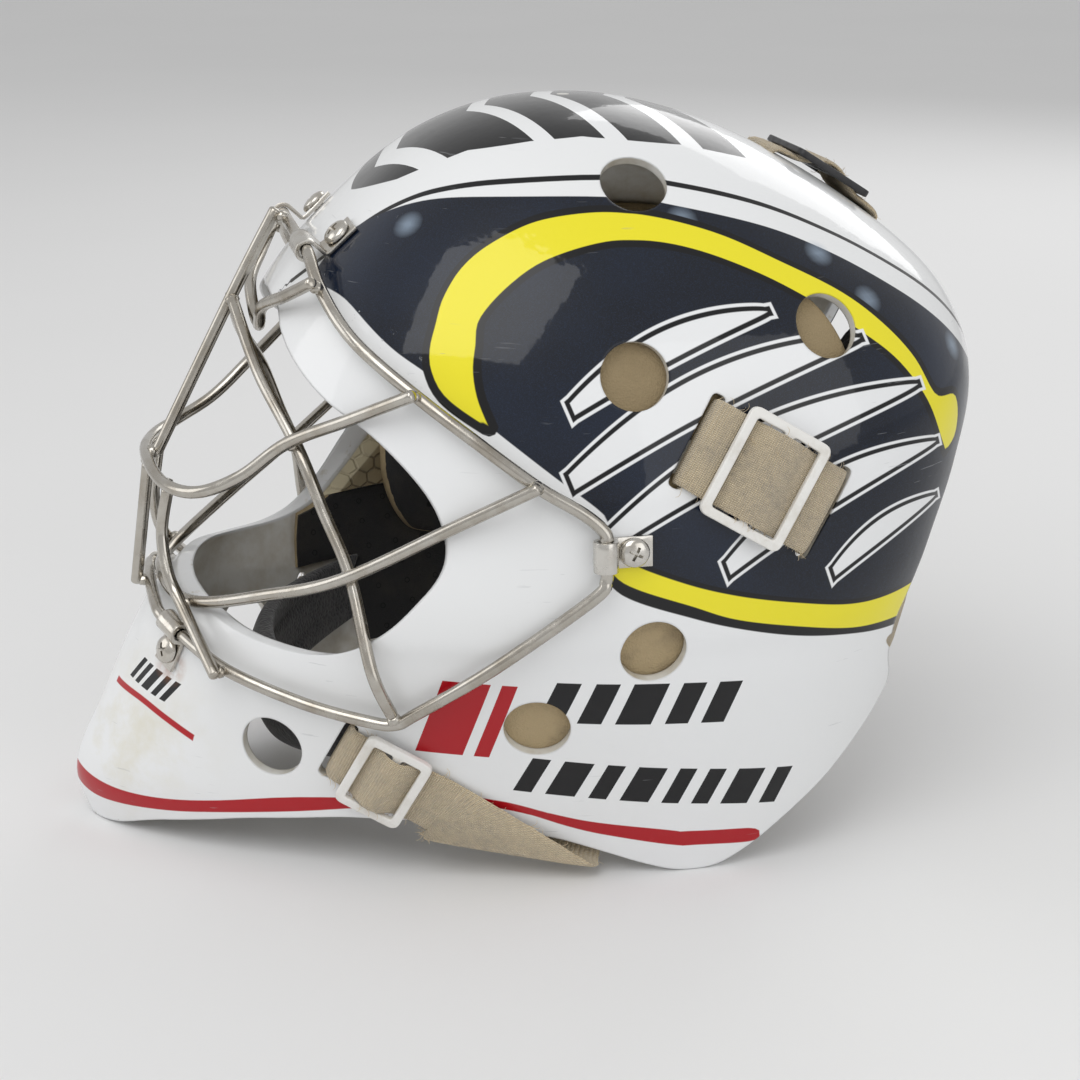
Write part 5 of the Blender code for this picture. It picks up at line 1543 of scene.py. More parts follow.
@dataclass
class Cage:
    """Welded wire cage: frame, centre, brow, eye and mouth bars, side bars and chin bars."""

    finishes: Finishes
    frame: CageFrame
    welds: list[Vector] = field(default_factory=list)

    def wire(self, name: str, points: list[Vector], mirror: bool = False, closed: bool = False,
             per_span: int = 8) -> None:
        """One wire of the cage, which stands for its node.

        Args:
            name: Name of the construction's node.
            points: Design points of the wire.
            mirror: Whether the other half follows by symmetry.
            closed: Whether the wire is a loop.
            per_span: Steps between two points.
        """
        if mirror:
            points = points + [mirrored(p) for p in reversed(points[:-1])]
        path = smooth_path(points, per_span)
        if closed:
            path = path[:-1]
        piece = tube(name.replace("cage_", "wire_"), path, WIRE_RADIUS, self.finishes.steel, closed=closed)
        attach(piece, Body.MASK.value)
        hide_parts(name)

    def both(self, *points: Vector) -> None:
        """Notes weld places on both sides."""
        for p in points:
            self.welds.append(p)
            if abs(p.x) > 1.0:
                self.welds.append(mirrored(p))

    def build(self) -> None:
        """Makes every wire from the frame's own points."""
        at = self.frame.points
        half = list(at.values())
        self.wire("cage_frame", half, mirror=True, closed=True, per_span=6)

        eye_side, mouth_side = Vector((60, -97, 150.5)), Vector((82, -83, 110.5))
        eye_out = Vector((0.54, -0.743, 0.392)).normalized()
        mouth_out = Vector((0.769, -0.631, 0.1)).normalized()
        eye_front, mouth_front = Vector((0, -140, 133)), Vector((0, -137, 91))
        eye_end, mouth_end = self.frame.stacked("temple", 1.1), self.frame.stacked("cheek", 1.08)

        head = at["top_middle"] + Vector((0, -WIRE_STEP, 4))
        foot = eye_front + Vector((0, WIRE_STEP - 0.5, 0.5))
        self.wire("cage_centre_bar", [head, head.lerp(foot, 0.33) + Vector((0, -0.6, 0)), foot])

        brow = FORM.front(0, BROW_HEIGHT)
        brow_end, brow_dip = self.frame.stacked("brow_corner", 1.3), brow - Vector((0, 3.6, 12.0))
        over_brow = []
        for share in (0.3, 0.62):
            p = brow_end.lerp(brow_dip, share) + Vector((0, -3, 0))
            surface = FORM.front(p.x, p.z)
            out = FORM.normal(surface)
            over_brow.append(p + out * max(0.0, WIRE_RADIUS + 1.5 - (p - surface).dot(out)))
        self.wire("cage_brow_bar", [brow_end, *over_brow, brow_dip + Vector((9, -0.5, 2)), brow_dip],
                  mirror=True)
        self.wire("cage_eye_bar", [eye_end, eye_end.lerp(eye_side, 0.5), eye_side, Vector((54, -112, 138.5)),
                                   Vector((47, -126, 132)), Vector((30, -136, 131)), eye_front], mirror=True)
        over_edge = FORM.lifted(FORM.side(-46, 133), WIRE_RADIUS + 1.5)
        self.wire("cage_mouth_bar", [mouth_end, over_edge, mouth_side, Vector((60, -107, 99)),
                                     Vector((40, -125, 91)), Vector((22, -134, 89)), mouth_front],
                  mirror=True)
        root = head.lerp(foot, 0.36) + Vector((WIRE_RADIUS + 2.4, 0, 0))
        eye, mouth = eye_side - eye_out * WIRE_STEP, mouth_side - mouth_out * WIRE_STEP
        corner = at["jaw_corner"]
        over_jaw = FORM.lifted(FORM.side(-73, 83.5), WIRE_RADIUS + 4.2)
        end = corner + (over_jaw - corner).normalized() * (WIRE_RADIUS + 2.1)
        side_bar = [root, root.lerp(eye, 0.5) + Vector((2, -2, 0.5)), eye, eye.lerp(mouth, 0.5), mouth,
                    over_jaw, end]
        top = Vector((27, -134.5, 131 - WIRE_STEP + 0.5))
        crossing = Vector((35, -128.3, 90)) + Vector((0.35, -0.93, 0)) * WIRE_STEP
        chin_end = self.frame.stacked("mouth", 1.35)
        chin_bar = [top, Vector((25, -137, 112)), Vector((30, -136, 99)), crossing, chin_end]
        for side in Side:
            self.wire(f"cage_side_bar_{side.tag}", [mirrored(p, side.value) for p in side_bar])
            self.wire(f"cage_chin_bar_{side.tag}", [mirrored(p, side.value) for p in chin_bar])
        middle_top = eye_front + Vector((0, 0.4, -WIRE_STEP + 0.1))
        middle_foot = at["bottom_middle"] + Vector((0, -WIRE_STEP - 0.1, -0.5))
        self.wire("cage_chin_bar_middle", [middle_top, Vector((0, -142, 112)), middle_foot])

        self.both(eye_end.lerp(at["temple"], 0.5), mouth_end.lerp(at["cheek"], 0.5),
                  brow_end.lerp(at["brow_corner"], 0.5), eye_side.lerp(eye, 0.5),
                  mouth_side.lerp(mouth, 0.5), end.lerp(corner, 0.55), chin_end.lerp(at["mouth"], 0.5),
                  root.lerp(head.lerp(foot, 0.36), 0.5), top + Vector((0, 0, 2.2)),
                  crossing + Vector((-0.35, 0.93, 0)) * WIRE_STEP * 0.5, foot.lerp(eye_front, 0.5),
                  middle_top.lerp(eye_front, 0.5), middle_foot.lerp(at["bottom_middle"], 0.5),
                  head.lerp(at["top_middle"], 0.5))
        self.build_welds()
        LOG.info("cage: 10 wires, %d welds", len(self.welds))

    def build_welds(self) -> None:
        """Small uneven beads where wires meet."""
        shape = bmesh.new()
        bmesh.ops.create_icosphere(shape, subdivisions=3, radius=2.35)
        for vertex in shape.verts:
            p = vertex.co
            wave = math.sin(3.1 * p.x + 1.0) * math.sin(2.7 * p.y) + 0.6 * math.sin(4.3 * p.z + p.x)
            vertex.co = p * (1.0 + 0.06 * wave)
            vertex.co.z *= 0.82
        points = [v.co.copy() for v in shape.verts]
        faces = [tuple(v.index for v in f.verts) for f in shape.faces]
        shape.free()
        scatter = Scatter("weld", local_mesh("weld_bead", points, faces), self.finishes.steel)
        matrices = []
        for number, p in enumerate(self.welds):
            turn = Matrix.Rotation(1.3 * number, 4, "Z") @ Matrix.Rotation(0.7 * number, 4, "X")
            matrices.append(Matrix.Translation(placed(p)) @ turn)
        sizes = [0.92 + 0.16 * math.sin(2.1 * k) ** 2 for k in range(len(matrices))]
        beads = scatter.on("weld_beads", matrices, sizes)
        scatter.done()
        smooth(beads, 80)
        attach(beads, Body.MASK.value)


# --- clips and screws ---
@dataclass
class Hardware:
    """Clips that hold the frame, their cross-recessed screws and the tee nuts inside."""

    finishes: Finishes
    places: dict[str, ClipPlace]
    nodes: dict[str, bpy.types.Object]
    clip_width: float = 10.0
    head_diameter: float = 9.6
    head_height: float = 2.8
    shank_diameter: float = 5.0
    shank_length: float = 9.0
    recess: float = 2.7
    recess_width: float = 1.04

    def clip_path(self, place: ClipPlace) -> list[Vector]:
        """Middle line of a clip in its own plane: flat under the screw, then round the wire."""
        turn = WIRE_RADIUS + 0.5 + CLIP_THICKNESS / 2
        level = GAP + CLIP_THICKNESS / 2
        bend = place.reach - turn
        start = [Vector(p) for p in ((-6.0, level), (bend - 2.0, level), (bend - 0.8, level + 0.25),
                                     (bend - 0.2, level + 0.9))]
        angles = [math.radians(180 - 255 * k / 26) for k in range(27)]
        return start + [Vector((place.reach + turn * math.cos(a), place.height + turn * math.sin(a)))
                        for a in angles]

    def clip(self, name: str, place: ClipPlace) -> None:
        """One bent plate with its edges broken."""
        path = self.clip_path(place)
        across = place.axes[1]
        wire_axis = place.wire_axis * (1 if place.wire_axis.dot(across) > 0 else -1)
        turn = WIRE_RADIUS + 0.5 + CLIP_THICKNESS / 2
        outer, inner = [], []
        shifts = [self.clip_width * (c / 4 - 0.5) for c in range(5)]
        for i, here in enumerate(path):
            before, after = path[max(i - 1, 0)], path[min(i + 1, len(path) - 1)]
            along = (after - before).normalized()
            lift = Vector((-along.y, along.x)) * CLIP_THICKNESS / 2
            axis = wire_axis if here.x > place.reach - turn - 1.2 else across
            for row, p in ((outer, here + lift), (inner, here - lift)):
                base = to_design(place.screw, place.axes, (p.x, 0, p.y))
                row.append([base + axis * shift for shift in shifts])
        points, faces = grid_solid(outer, inner)
        name = f"clip_{name}"
        piece = add_piece(f"frame_{name}", mesh_of(name, points, faces), self.finishes.hardware)
        hole = circle(self.shank_diameter / 2 + GAP, 24)
        cut_with(piece, [hole_at(place.screw, HOLE_TURN, hole, 6)], "EXACT")
        smooth(bevelled(piece, 0.22, 2, 50), 35)
        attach(piece, Body.MASK.value)
        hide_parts(name)

    def screw_shape(self) -> bpy.types.Object:
        """Pan-head screw about its own origin, standing on the clip's plate, with a cross recess."""
        seat = 2 * GAP + CLIP_THICKNESS
        head, top = self.head_diameter / 2, seat + self.head_height
        dome = [(head * math.sin(a), seat + self.head_height * (0.28 + 0.72 * math.cos(a)))
                for a in (0.0, 0.25, 0.5, 0.75, 1.0, 1.2, 1.4, math.pi / 2)]
        shank = self.shank_diameter / 2
        profile = [*dome, (head, seat + 0.25), (head - 0.25, seat), (shank, seat),
                   (shank, seat - self.shank_length), (0, seat - self.shank_length)]
        item = local_mesh("screw_source", *turned(profile, 36))
        long, wide = self.recess, self.recess_width / 2
        quarter = [Vector(p) for p in ((long, -wide), (long, wide), (wide, wide))]
        outline = [Matrix.Rotation(k * math.pi / 2, 2) @ p for k in range(4) for p in quarter]
        levels = ((1.08, top + 0.6), (0.55, top - 1.7))
        points = [Vector((*(p * share), height)) for share, height in levels for p in outline]
        return cut_with(item, [local_mesh("cutter", points, loft_faces(2, len(outline)))], "EXACT")

    def build(self) -> None:
        """Makes clips and screws and dresses the tee nuts."""
        for name, place in self.places.items():
            self.clip(name, place)
        scatter = Scatter("screw", self.screw_shape(), self.finishes.hardware)
        turns = (0.3, 1.1, 0.7, -0.2, 0.5, 1.3)
        for (name, place), turn in zip(self.places.items(), turns):
            matrix = frame_matrix(place.screw, place.axes) @ Matrix.Rotation(turn, 4, "Z")
            screw = smooth(scatter.on(f"pan_screw_{name}", [matrix]), 35)
            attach(screw, Body.MASK.value)
            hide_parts(f"screw_{name}")
            nut = self.nodes[f"tee_nut_{name}"]
            nut.data.materials.clear()
            nut.data.materials.append(self.finishes.hardware)
        scatter.done()
        LOG.info("hardware: %d clips, screws and tee nuts", len(self.places))


# --- liner ---
def crowned(u: float, v: float, edge: float = 0.42) -> float:
    """Share of a cushion's thickness at u, v in -1..1: full in the middle, drawn in at its border."""
    return edge + (1 - edge) * math.sqrt(max(0.0, 1 - abs(u) ** 3.2)) * math.sqrt(max(0.0, 1 - abs(v) ** 3.2))


def crown_ring_point(radius: float, angle: float) -> Vector:
    """Point of the shell's crown about its pole at a horizontal radius."""
    x, y = radius * math.sin(angle), CROWN_Y - radius * math.cos(angle)
    low, high = 200.0, STATIONS[0][0] - 0.02
    for _ in range(24):
        middle = 0.5 * (low + high)
        if FORM.levels(np.array([[x, y, middle]]))[0] < 0:
            low = middle
        else:
            high = middle
    return Vector((x, y, 0.5 * (low + high)))


def crown_point(y: float) -> Vector:
    """Point of the shell's top on the middle plane at a given Y behind the pole."""
    low, high = ARCH_TOP, STATIONS[0][0] - 0.05
    for _ in range(40):
        middle = 0.5 * (low + high)
        if FORM.at_height(middle)[2] > y:
            low = middle
        else:
            high = middle
    return Vector((0, y, 0.5 * (low + high)))


class PadKind(Enum):
    """What a pad is faced with."""

    BLACK_FOAM = "black_foam"
    TAN_FOAM = "tan_foam"
    CLOTH = "cloth"


@dataclass
class PadShape:
    """A cushion on the inside of the shell between two angles in degrees and two heights in mm."""

    name: str
    angles: Point2
    heights: Point2
    thickness: float
    kind: PadKind
    depth: float = SHELL_WALL + 0.7
    rows: int = 13
    columns: int = 17
    perforated: bool = False


@dataclass(frozen=True)
class PanelSpec:
    """Thin foam panel between two angles in degrees and two heights in mm, the same on both sides."""

    name: str
    angles: Point2
    heights: Point2
    thickness: float
    hexagons: bool


PANELS = (
    PanelSpec("brow_side_panel", (50, 70), (85.7, 150), 3.6, True),
    PanelSpec("temple_front_panel", (56, 78.5), (151.5, 202), 3.0, True),
    PanelSpec("cheek_panel", (50, 70), (61, 85.5), 2.2, False),
    PanelSpec("jaw_wing_panel", (59, 98), (27, 72), 2.4, False),
)


@dataclass
class Liner:
    """Foam pads glued inside the shell, the sweatband and the padded chin cup."""

    finishes: Finishes
    pad_gap: float = 0.7
    panel_gap: float = 0.1
    border: float = 0.985
    crown_reach: float = 44.0
    crown_thickness: float = 13.0
    cup_thickness: float = 9.0
    hole_diameter: float = 1.9
    hole_pitch: float = 8.0

    def shapes(self) -> list[PadShape]:
        """Every pad that lies on the shell's wall."""
        low, high = BROW_HEIGHT + 5, 234.0
        span = high - low
        pads = [PadShape("forehead_pad", (-41, 41), (low, high), 13.0, PadKind.TAN_FOAM, columns=25),
                PadShape("sweatband", (-27, 27), (low + 0.22 * span, low + 0.7 * span), 4.0, PadKind.CLOTH,
                         SHELL_WALL + self.pad_gap + 13.7, 9, 21)]
        for side in Side:
            def turn(a: float, b: float, sign: int = side.value) -> Point2:
                """The two angles on this side."""
                return (a, b) if sign > 0 else (-b, -a)
            pads += [PadShape(f"temple_pad_{side.tag}", turn(80, 116), (156, 204), 13.0, PadKind.TAN_FOAM),
                     PadShape(f"jaw_pad_{side.tag}", turn(66, 101), (62, 147), 20.0, PadKind.BLACK_FOAM,
                              rows=17, perforated=True)]
        return pads

    def finish_of(self, kind: PadKind) -> bpy.types.Material:
        """The finish of a kind of pad."""
        return {PadKind.BLACK_FOAM: self.finishes.foam, PadKind.TAN_FOAM: self.finishes.tan_foam,
                PadKind.CLOTH: self.finishes.pale_cloth}[kind]

    def surface(self, pad: PadShape, u: float, v: float) -> tuple[Vector, float]:
        """Point of the shell behind a pad at u, v in -1..1, and the share of the thickness there."""
        trim = 1 - 0.16 * abs(v) ** 4
        centre, half = 0.5 * sum(pad.angles), 0.5 * (pad.angles[1] - pad.angles[0])
        half_height = 0.5 * (pad.heights[1] - pad.heights[0]) * (1 - 0.1 * abs(u) ** 4)
        z = 0.5 * sum(pad.heights) + half_height * v
        return FORM.point(FORM.at_height(z), math.radians(centre + half * u * trim)), crowned(u, v)

    def pad(self, pad: PadShape) -> None:
        """One pad: a crowned cushion whose border is drawn in."""
        outer, inner = [], []
        for v in np.linspace(-self.border, self.border, pad.rows):
            spots = [self.surface(pad, u, v) for u in np.linspace(-self.border, self.border, pad.columns)]
            outer.append([FORM.lifted(p, -pad.depth) for p, _ in spots])
            inner.append([FORM.lifted(p, -pad.depth - pad.thickness * share) for p, share in spots])
        points, faces = grid_solid(outer, inner)
        mesh = mesh_of(pad.name, points, faces)
        store_lift(mesh)
        piece = add_piece(f"soft_{pad.name}", mesh, self.finish_of(pad.kind))
        piece = smooth(subdivided(piece, 2), 80)
        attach(piece, Body.MASK.value)
        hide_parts(pad.name)
        if pad.perforated:
            self.perforate(pad)

    def perforate(self, pad: PadShape) -> None:
        """Rows of small vent holes on the face of a pad, as dished discs of painted shade."""
        spots = []
        height = pad.heights[1] - pad.heights[0]
        width = math.radians(pad.angles[1] - pad.angles[0]) * 105
        for r in range(int(height / self.hole_pitch)):
            for c in range(int(width / self.hole_pitch)):
                u = -0.82 + 1.64 * (c + 0.5 * (r % 2)) / (width / self.hole_pitch)
                v = -0.86 + 1.72 * r / (height / self.hole_pitch - 1)
                here, share = self.surface(pad, u, v)
                spots.append((here, pad.depth + pad.thickness * share + 0.02))
        self.holes(f"{pad.name}_holes", spots)

    def holes(self, name: str, spots: Sequence[tuple[Vector, float]]) -> None:
        """Small dished discs of painted shade at points of the shell, each at a depth inside it."""
        profile = [(0, -0.15), (self.hole_diameter * 0.4, -0.05), (self.hole_diameter / 2, 0.12),
                   (self.hole_diameter * 0.62, 0.02), (self.hole_diameter * 0.62, -0.4), (0, -0.4)]
        scatter = Scatter("hole", local_mesh("hole_source", *turned(profile, 10)), self.finishes.hole)
        matrices = []
        for here, depth in spots:
            normal = FORM.normal(here)
            matrices.append(frame_matrix(here - normal * depth, axes_from(-normal, Vector((0, 0.2, 1)))))
        holes = scatter.on(name, matrices)
        scatter.done()
        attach(holes, Body.MASK.value)

    def crown_pad(self) -> None:
        """Round cushion under the top of the shell."""
        rings = (0.25, 0.45, 0.62, 0.76, 0.88, 0.96, 0.995)
        turns = [2 * math.pi * k / 28 for k in range(28)]
        outer, inner = [], []
        depth = SHELL_WALL + self.pad_gap
        for share in rings:
            spots = [crown_ring_point(share * self.crown_reach, turn) for turn in turns]
            outer.append([FORM.lifted(p, -depth) for p in spots])
            inner.append([FORM.lifted(p, -depth - self.crown_thickness * crowned(share, 0)) for p in spots])
        points, faces = grid_solid(outer, inner, closed_columns=True, capped=True)
        mesh = mesh_of("crown_pad", points, faces)
        store_lift(mesh)
        piece = smooth(subdivided(add_piece("soft_crown_pad", mesh, self.finishes.tan_foam), 2), 80)
        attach(piece, Body.MASK.value)
        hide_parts("crown_pad")

    def chin_cup(self) -> None:
        """Padded cup slung between the two sides of the jaw, with two sewn channels."""
        outer, inner = [], []
        rows, columns = 15, 41
        for r in range(rows):
            v = -1 + 2 * r / (rows - 1)
            line_out, line_in = [], []
            for c in range(columns):
                u = 0.99 * (-1 + 2 * c / (columns - 1))
                z = 46 + 6 * abs(u) ** 2 + 17.0 * v * (1 - 0.35 * abs(u) ** 2)
                anchor = FORM.lifted(FORM.side(-62, z), -(SHELL_WALL + 2 * GAP))
                x = anchor.x * u
                y = anchor.y + (-108.0 - anchor.y) * (1 - abs(u) ** 2.4) + 5 * v * v
                thick = self.cup_thickness * (0.35 + 0.65 * (1 - abs(u) ** 4)) * (1 - 0.45 * abs(v) ** 3)
                thick -= 2.2 * math.exp(-((abs(v) - 0.45) / 0.10) ** 2) * (1 - abs(u) ** 4)
                line_out.append(Vector((x, y, z)))
                line_in.append(Vector((x * (1 - thick / 160), y + thick, z)))
            outer.append(line_out)
            inner.append(line_in)
        points, faces = grid_solid(outer, inner)
        piece = smooth(subdivided(add_piece("soft_chin_cup", mesh_of("chin_cup", points, faces),
                                            self.finishes.cloth), 1), 80)
        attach(piece, Body.MASK.value)
        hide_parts("chin_sling")

    def panel(self, spec: PanelSpec, side: Side) -> None:
        """Flat foam panel on the shell's wall, cut back at the face opening."""
        rows, columns = 25, 33
        outer, inner = [], []
        for r in range(rows):
            ring = FORM.at_height(spec.heights[0] + (spec.heights[1] - spec.heights[0]) * r / (rows - 1))
            first, last = spec.angles
            spots = [FORM.point(ring, math.radians(first + (last - first) * c / (columns - 1)) * side.value)
                     for c in range(columns)]
            outer.append([FORM.lifted(p, -(SHELL_WALL + self.panel_gap)) for p in spots])
            inner.append([FORM.lifted(p, -(SHELL_WALL + self.panel_gap + spec.thickness)) for p in spots])
        name = f"{spec.name}_{side.tag}"
        piece = add_piece(name, mesh_of(name, *grid_solid(outer, inner)),
                          self.finishes.hexagon if spec.hexagons else self.finishes.foam)
        opening = [(x * 1.008, 135 + (z - 135) * 1.015) for x, z in Shell(self.finishes, {}).face_opening()]
        cut_with(piece, [prism(opening, "Y", *FACE_CUT)], "EXACT")
        u, v, depth = FORM.chart(design_points(piece.data))
        for key, values in (("sideways", u), ("down", v), ("lift", (depth - SHELL_WALL) / spec.thickness)):
            store(piece.data, key, values)
        smooth(piece, 40)
        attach(piece, Body.MASK.value)
        if not spec.hexagons:
            spots = []
            for z in np.arange(spec.heights[0] + 4, spec.heights[1] - 3, self.hole_pitch):
                for angle in np.arange(spec.angles[0] + 3, spec.angles[1] - 2, 4.4):
                    p = FORM.point(FORM.at_height(float(z)), math.radians(angle) * side.value)
                    spots.append((p, SHELL_WALL + 0.12 + spec.thickness))
            self.holes(f"{name}_holes", spots)

    def build(self) -> None:
        """Makes every soft piece inside the shell."""
        for pad in self.shapes():
            self.pad(pad)
        self.crown_pad()
        self.chin_cup()
        for side in Side:
            for spec in PANELS:
                self.panel(spec, side)
        LOG.info("liner: pads, panels, sweatband and chin cup")


# --- rear plate ---
@dataclass
class RearPlate:
    """Plastic plate behind the head and the cushion on its inside."""

    finishes: Finishes
    wall: float = 3.0
    depth: float = 7.0
    half_width: float = 58.0
    bottom: float = 62.0
    top: float = 158.0
    pad_thickness: float = 12.0

    def patch(self, depth: float, thickness: float, half_width: float, bottom: float, top: float,
              crown: bool, rows: int = 25, columns: int = 27
              ) -> tuple[list[list[Vector]], list[list[Vector]]]:
        """Two grids of a curved plate that follows the rear of the shell."""
        outer, inner = [], []
        for r in range(rows):
            v = -1 + 2 * r / (rows - 1)
            z = 0.5 * (bottom + top) + 0.5 * (top - bottom) * v
            line_out, line_in = [], []
            for c in range(columns):
                u = -1 + 2 * c / (columns - 1)
                p = FORM.back(half_width * u * (1 - 0.28 * abs(v) ** 5), z)
                share = crowned(u, v) if crown else 1.0
                line_out.append(FORM.lifted(p, -depth))
                line_in.append(FORM.lifted(p, -depth - thickness * share))
            outer.append(line_out)
            inner.append(line_in)
        return outer, inner

    def build(self) -> None:
        """Makes the plate, with its edges rounded, and its cushion."""
        grids = self.patch(self.depth, self.wall, self.half_width, self.bottom, self.top, False)
        plate = add_piece("rear_plate_shell", mesh_of("rear_plate_shell", *grid_solid(*grids)),
                          self.finishes.black_plastic)
        slot = box_section(12, 4, 1.9)
        cut_with(plate, [hole_at(FORM.back(x, z), Vector((1, 0, 0)), slot, 16) for z in (98, 128)
                         for x in (-30, -10, 10, 30)], "EXACT")
        smooth(bevelled(plate, 1.1, 3, 60), 35)
        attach(plate, Body.REAR_PLATE.value)
        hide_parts("backplate")

        grids = self.patch(self.depth + self.wall + 0.7, self.pad_thickness, self.half_width - 5,
                           self.bottom + 5, self.top - 5, True, 15, 17)
        mesh = mesh_of("rear_cushion", *grid_solid(*grids))
        store_lift(mesh)
        cushion = smooth(subdivided(add_piece("rear_cushion", mesh, self.finishes.foam), 2), 80)
        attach(cushion, Body.REAR_PLATE.value)
        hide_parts("backplate_pad")
        LOG.info("rear plate and cushion")


# --- harness ---
class Harness:
    """Elastic straps, their three-bar sliders and the loose fibres along the webbing."""

    side_slots = ((27, 156.5), (70, 130))
    lower_slot = (-85, 47)
    lower_rim = (-52, 28.5)
    lower_fold = ((-57, 16.5), (0, 5.5))
    crown_slots = (79, 119)
    crown_direction = Vector((0, 1, -0.5))
    side_share = 0.48
    lower_share = 0.46
    thickness = 2.2
    side_width = 30.0
    lower_width = 23.0
    crown_width = 30.0
    bar = 3.2
    slider_thickness = 2.4
    side_length = 31.0
    lower_length = 24.0
    crown_length = 31.0
    fibre_seed = 11
    face_share = 0.35
    edge_points = (0, 1, 11, 12, 13, 23)

    def __init__(self, finishes: Finishes) -> None:
        """Works out the heights of straps and sliders over the shell."""
        self.finishes = finishes
        self.lift = GAP + self.thickness / 2
        self.inside = -(SHELL_WALL + 2.0 + self.thickness / 2)
        self.on_plate = -(7.0 - 0.7 - self.thickness / 2)
        self.slider_lift = 2 * GAP + self.thickness
        self.over_bar = self.slider_lift + self.slider_thickness + self.lift
        self.fibres: list[Matrix] = []
        self.stitches: list[Matrix] = []
        self.fibre_sizes: list[float] = []

    @classmethod
    def side_direction(cls, sign: int) -> Vector:
        """Direction of a side strap from its front slot to its rear slot."""
        return (FORM.side(*cls.side_slots[1], sign) - FORM.side(*cls.side_slots[0], sign)).normalized()

    @classmethod
    def lower_direction(cls, sign: int) -> Vector:
        """Direction of a lower strap from its slot towards the rim."""
        return (FORM.side(*cls.lower_rim, sign) - FORM.side(*cls.lower_slot, sign)).normalized()

    @classmethod
    def side_point(cls, sign: int, share: float) -> Vector:
        """Point of the shell along a side strap."""
        (y0, z0), (y1, z1) = cls.side_slots
        return FORM.side(y0 + (y1 - y0) * share, z0 + (z1 - z0) * share, sign)

    @classmethod
    def lower_point(cls, sign: int, share: float) -> Vector:
        """Point of the shell along a lower strap."""
        (y0, z0), (y1, z1) = cls.lower_slot, cls.lower_rim
        return FORM.side(y0 + (y1 - y0) * share, z0 + (z1 - z0) * share, sign)

    @classmethod
    def crown_share(cls, share: float) -> Vector:
        """Point of the shell along the crown strap."""
        return crown_point(cls.crown_slots[0] + (cls.crown_slots[1] - cls.crown_slots[0]) * share)

    def weave(self, middle: Vector, along: Vector, length: float) -> Stops:
        """Stops of a strap that runs under a slider's end bars and over its middle bar."""
        axes = axes_from(FORM.normal(middle), along)
        window = length / 2 - self.bar
        stops = [(-length / 2 - 1.5, self.lift), (-window + 0.4, self.lift), (-2.3, self.over_bar)]
        stops += [(-x, height) for x, height in reversed(stops)]
        return [(to_design(middle, axes, (x, 0, height)), axes[1].copy()) for x, height in stops]

    @staticmethod
    def one_sided(stops: Stops) -> Stops:
        """Keeps the across directions of a strap on one side, so that it doesn't twist over."""
        result = [stops[0]]
        for point, across in stops[1:]:
            result.append((point, -across if across.dot(result[-1][1]) < 0 else across))
        return result

    def side_stops(self, sign: int) -> Stops:
        """Route of a side strap, from its sewn end in the front slot to the rear plate."""
        along = self.side_direction(sign)

        def stop(share: float, height: float) -> tuple[Vector, Vector]:
            """Stop over the line of the strap."""
            p = self.side_point(sign, share)
            return FORM.lifted(p, height), along.cross(FORM.normal(p))
        stops = [stop(0.0, -SHELL_WALL + 0.4), stop(0.0, self.lift)]
        stops += self.weave(self.side_point(sign, self.side_share), along, self.side_length)
        stops += [stop(1.0, self.lift), stop(1.0, self.inside)]
        for y, z in ((77, 125), (86, 118), (96, 112)):
            p = FORM.side(y, z, sign)
            stops.append((FORM.lifted(p, self.inside), along.cross(FORM.normal(p))))
        for k in range(8):
            p = FORM.back((82 - 7 * k) * sign, 109 - 1.4 * k)
            stops.append((FORM.lifted(p, self.on_plate), Vector((-sign, 0, -0.2)).cross(FORM.normal(p))))
        return self.one_sided(stops)

    def lower_stops(self, sign: int) -> Stops:
        """Route of a lower strap: slot, slider, slanting fold under the rim and on to the rear plate."""
        along = self.lower_direction(sign)

        def stop(share: float, height: float) -> tuple[Vector, Vector]:
            """Stop over the line of the strap."""
            p = self.lower_point(sign, share)
            return FORM.lifted(p, height), along.cross(FORM.normal(p))

        def slanted(ends: tuple[Point2, Point2], lift: float, drop: float = 0.0) -> tuple[Vector, Vector]:
            """Section that lies along a slanting line of the shell."""
            (y0, z0), (y1, z1) = ends
            middle = FORM.side(0.5 * (y0 + y1), 0.5 * (z0 + z1), sign)
            across = FORM.side(y1, z1, sign) - FORM.side(y0, z0, sign)
            return FORM.lifted(middle, lift) - Vector((0, 0, drop)), across / self.lower_width
        stops = [stop(0.0, -SHELL_WALL + 0.4), stop(0.0, self.lift)]
        stops += self.weave(self.lower_point(sign, self.lower_share), along, self.lower_length)
        stops.append(stop(1.0, self.lift))
        bulge = 2.2
        stops += [slanted(((-57.5, 17.6), (-23, 22)), self.lift + 1.2),
                  slanted(self.lower_fold, self.lift + bulge),
                  slanted(self.lower_fold, -SHELL_WALL / 2, self.thickness),
                  slanted(self.lower_fold, -SHELL_WALL - self.lift - bulge)]
        for y, z in ((8, 25), (26, 33), (44, 43), (60, NOTCH_HEIGHT - 24), (74, NOTCH_HEIGHT - 13)):
            p = FORM.side(y, z, sign)
            onward = FORM.side(y + 10, z + 6, sign) - p
            stops.append((FORM.lifted(p, self.inside - 1), onward.cross(FORM.normal(p)).normalized()))
        for x in (84, 77, 70, 60, 52, 44):
            p = FORM.back(x * sign, NOTCH_HEIGHT - 7)
            depth = self.inside if x > 65 else self.on_plate
            stops.append((FORM.lifted(p, depth), Vector((-sign, 0, 0)).cross(FORM.normal(p)).normalized()))
        return self.one_sided(stops)

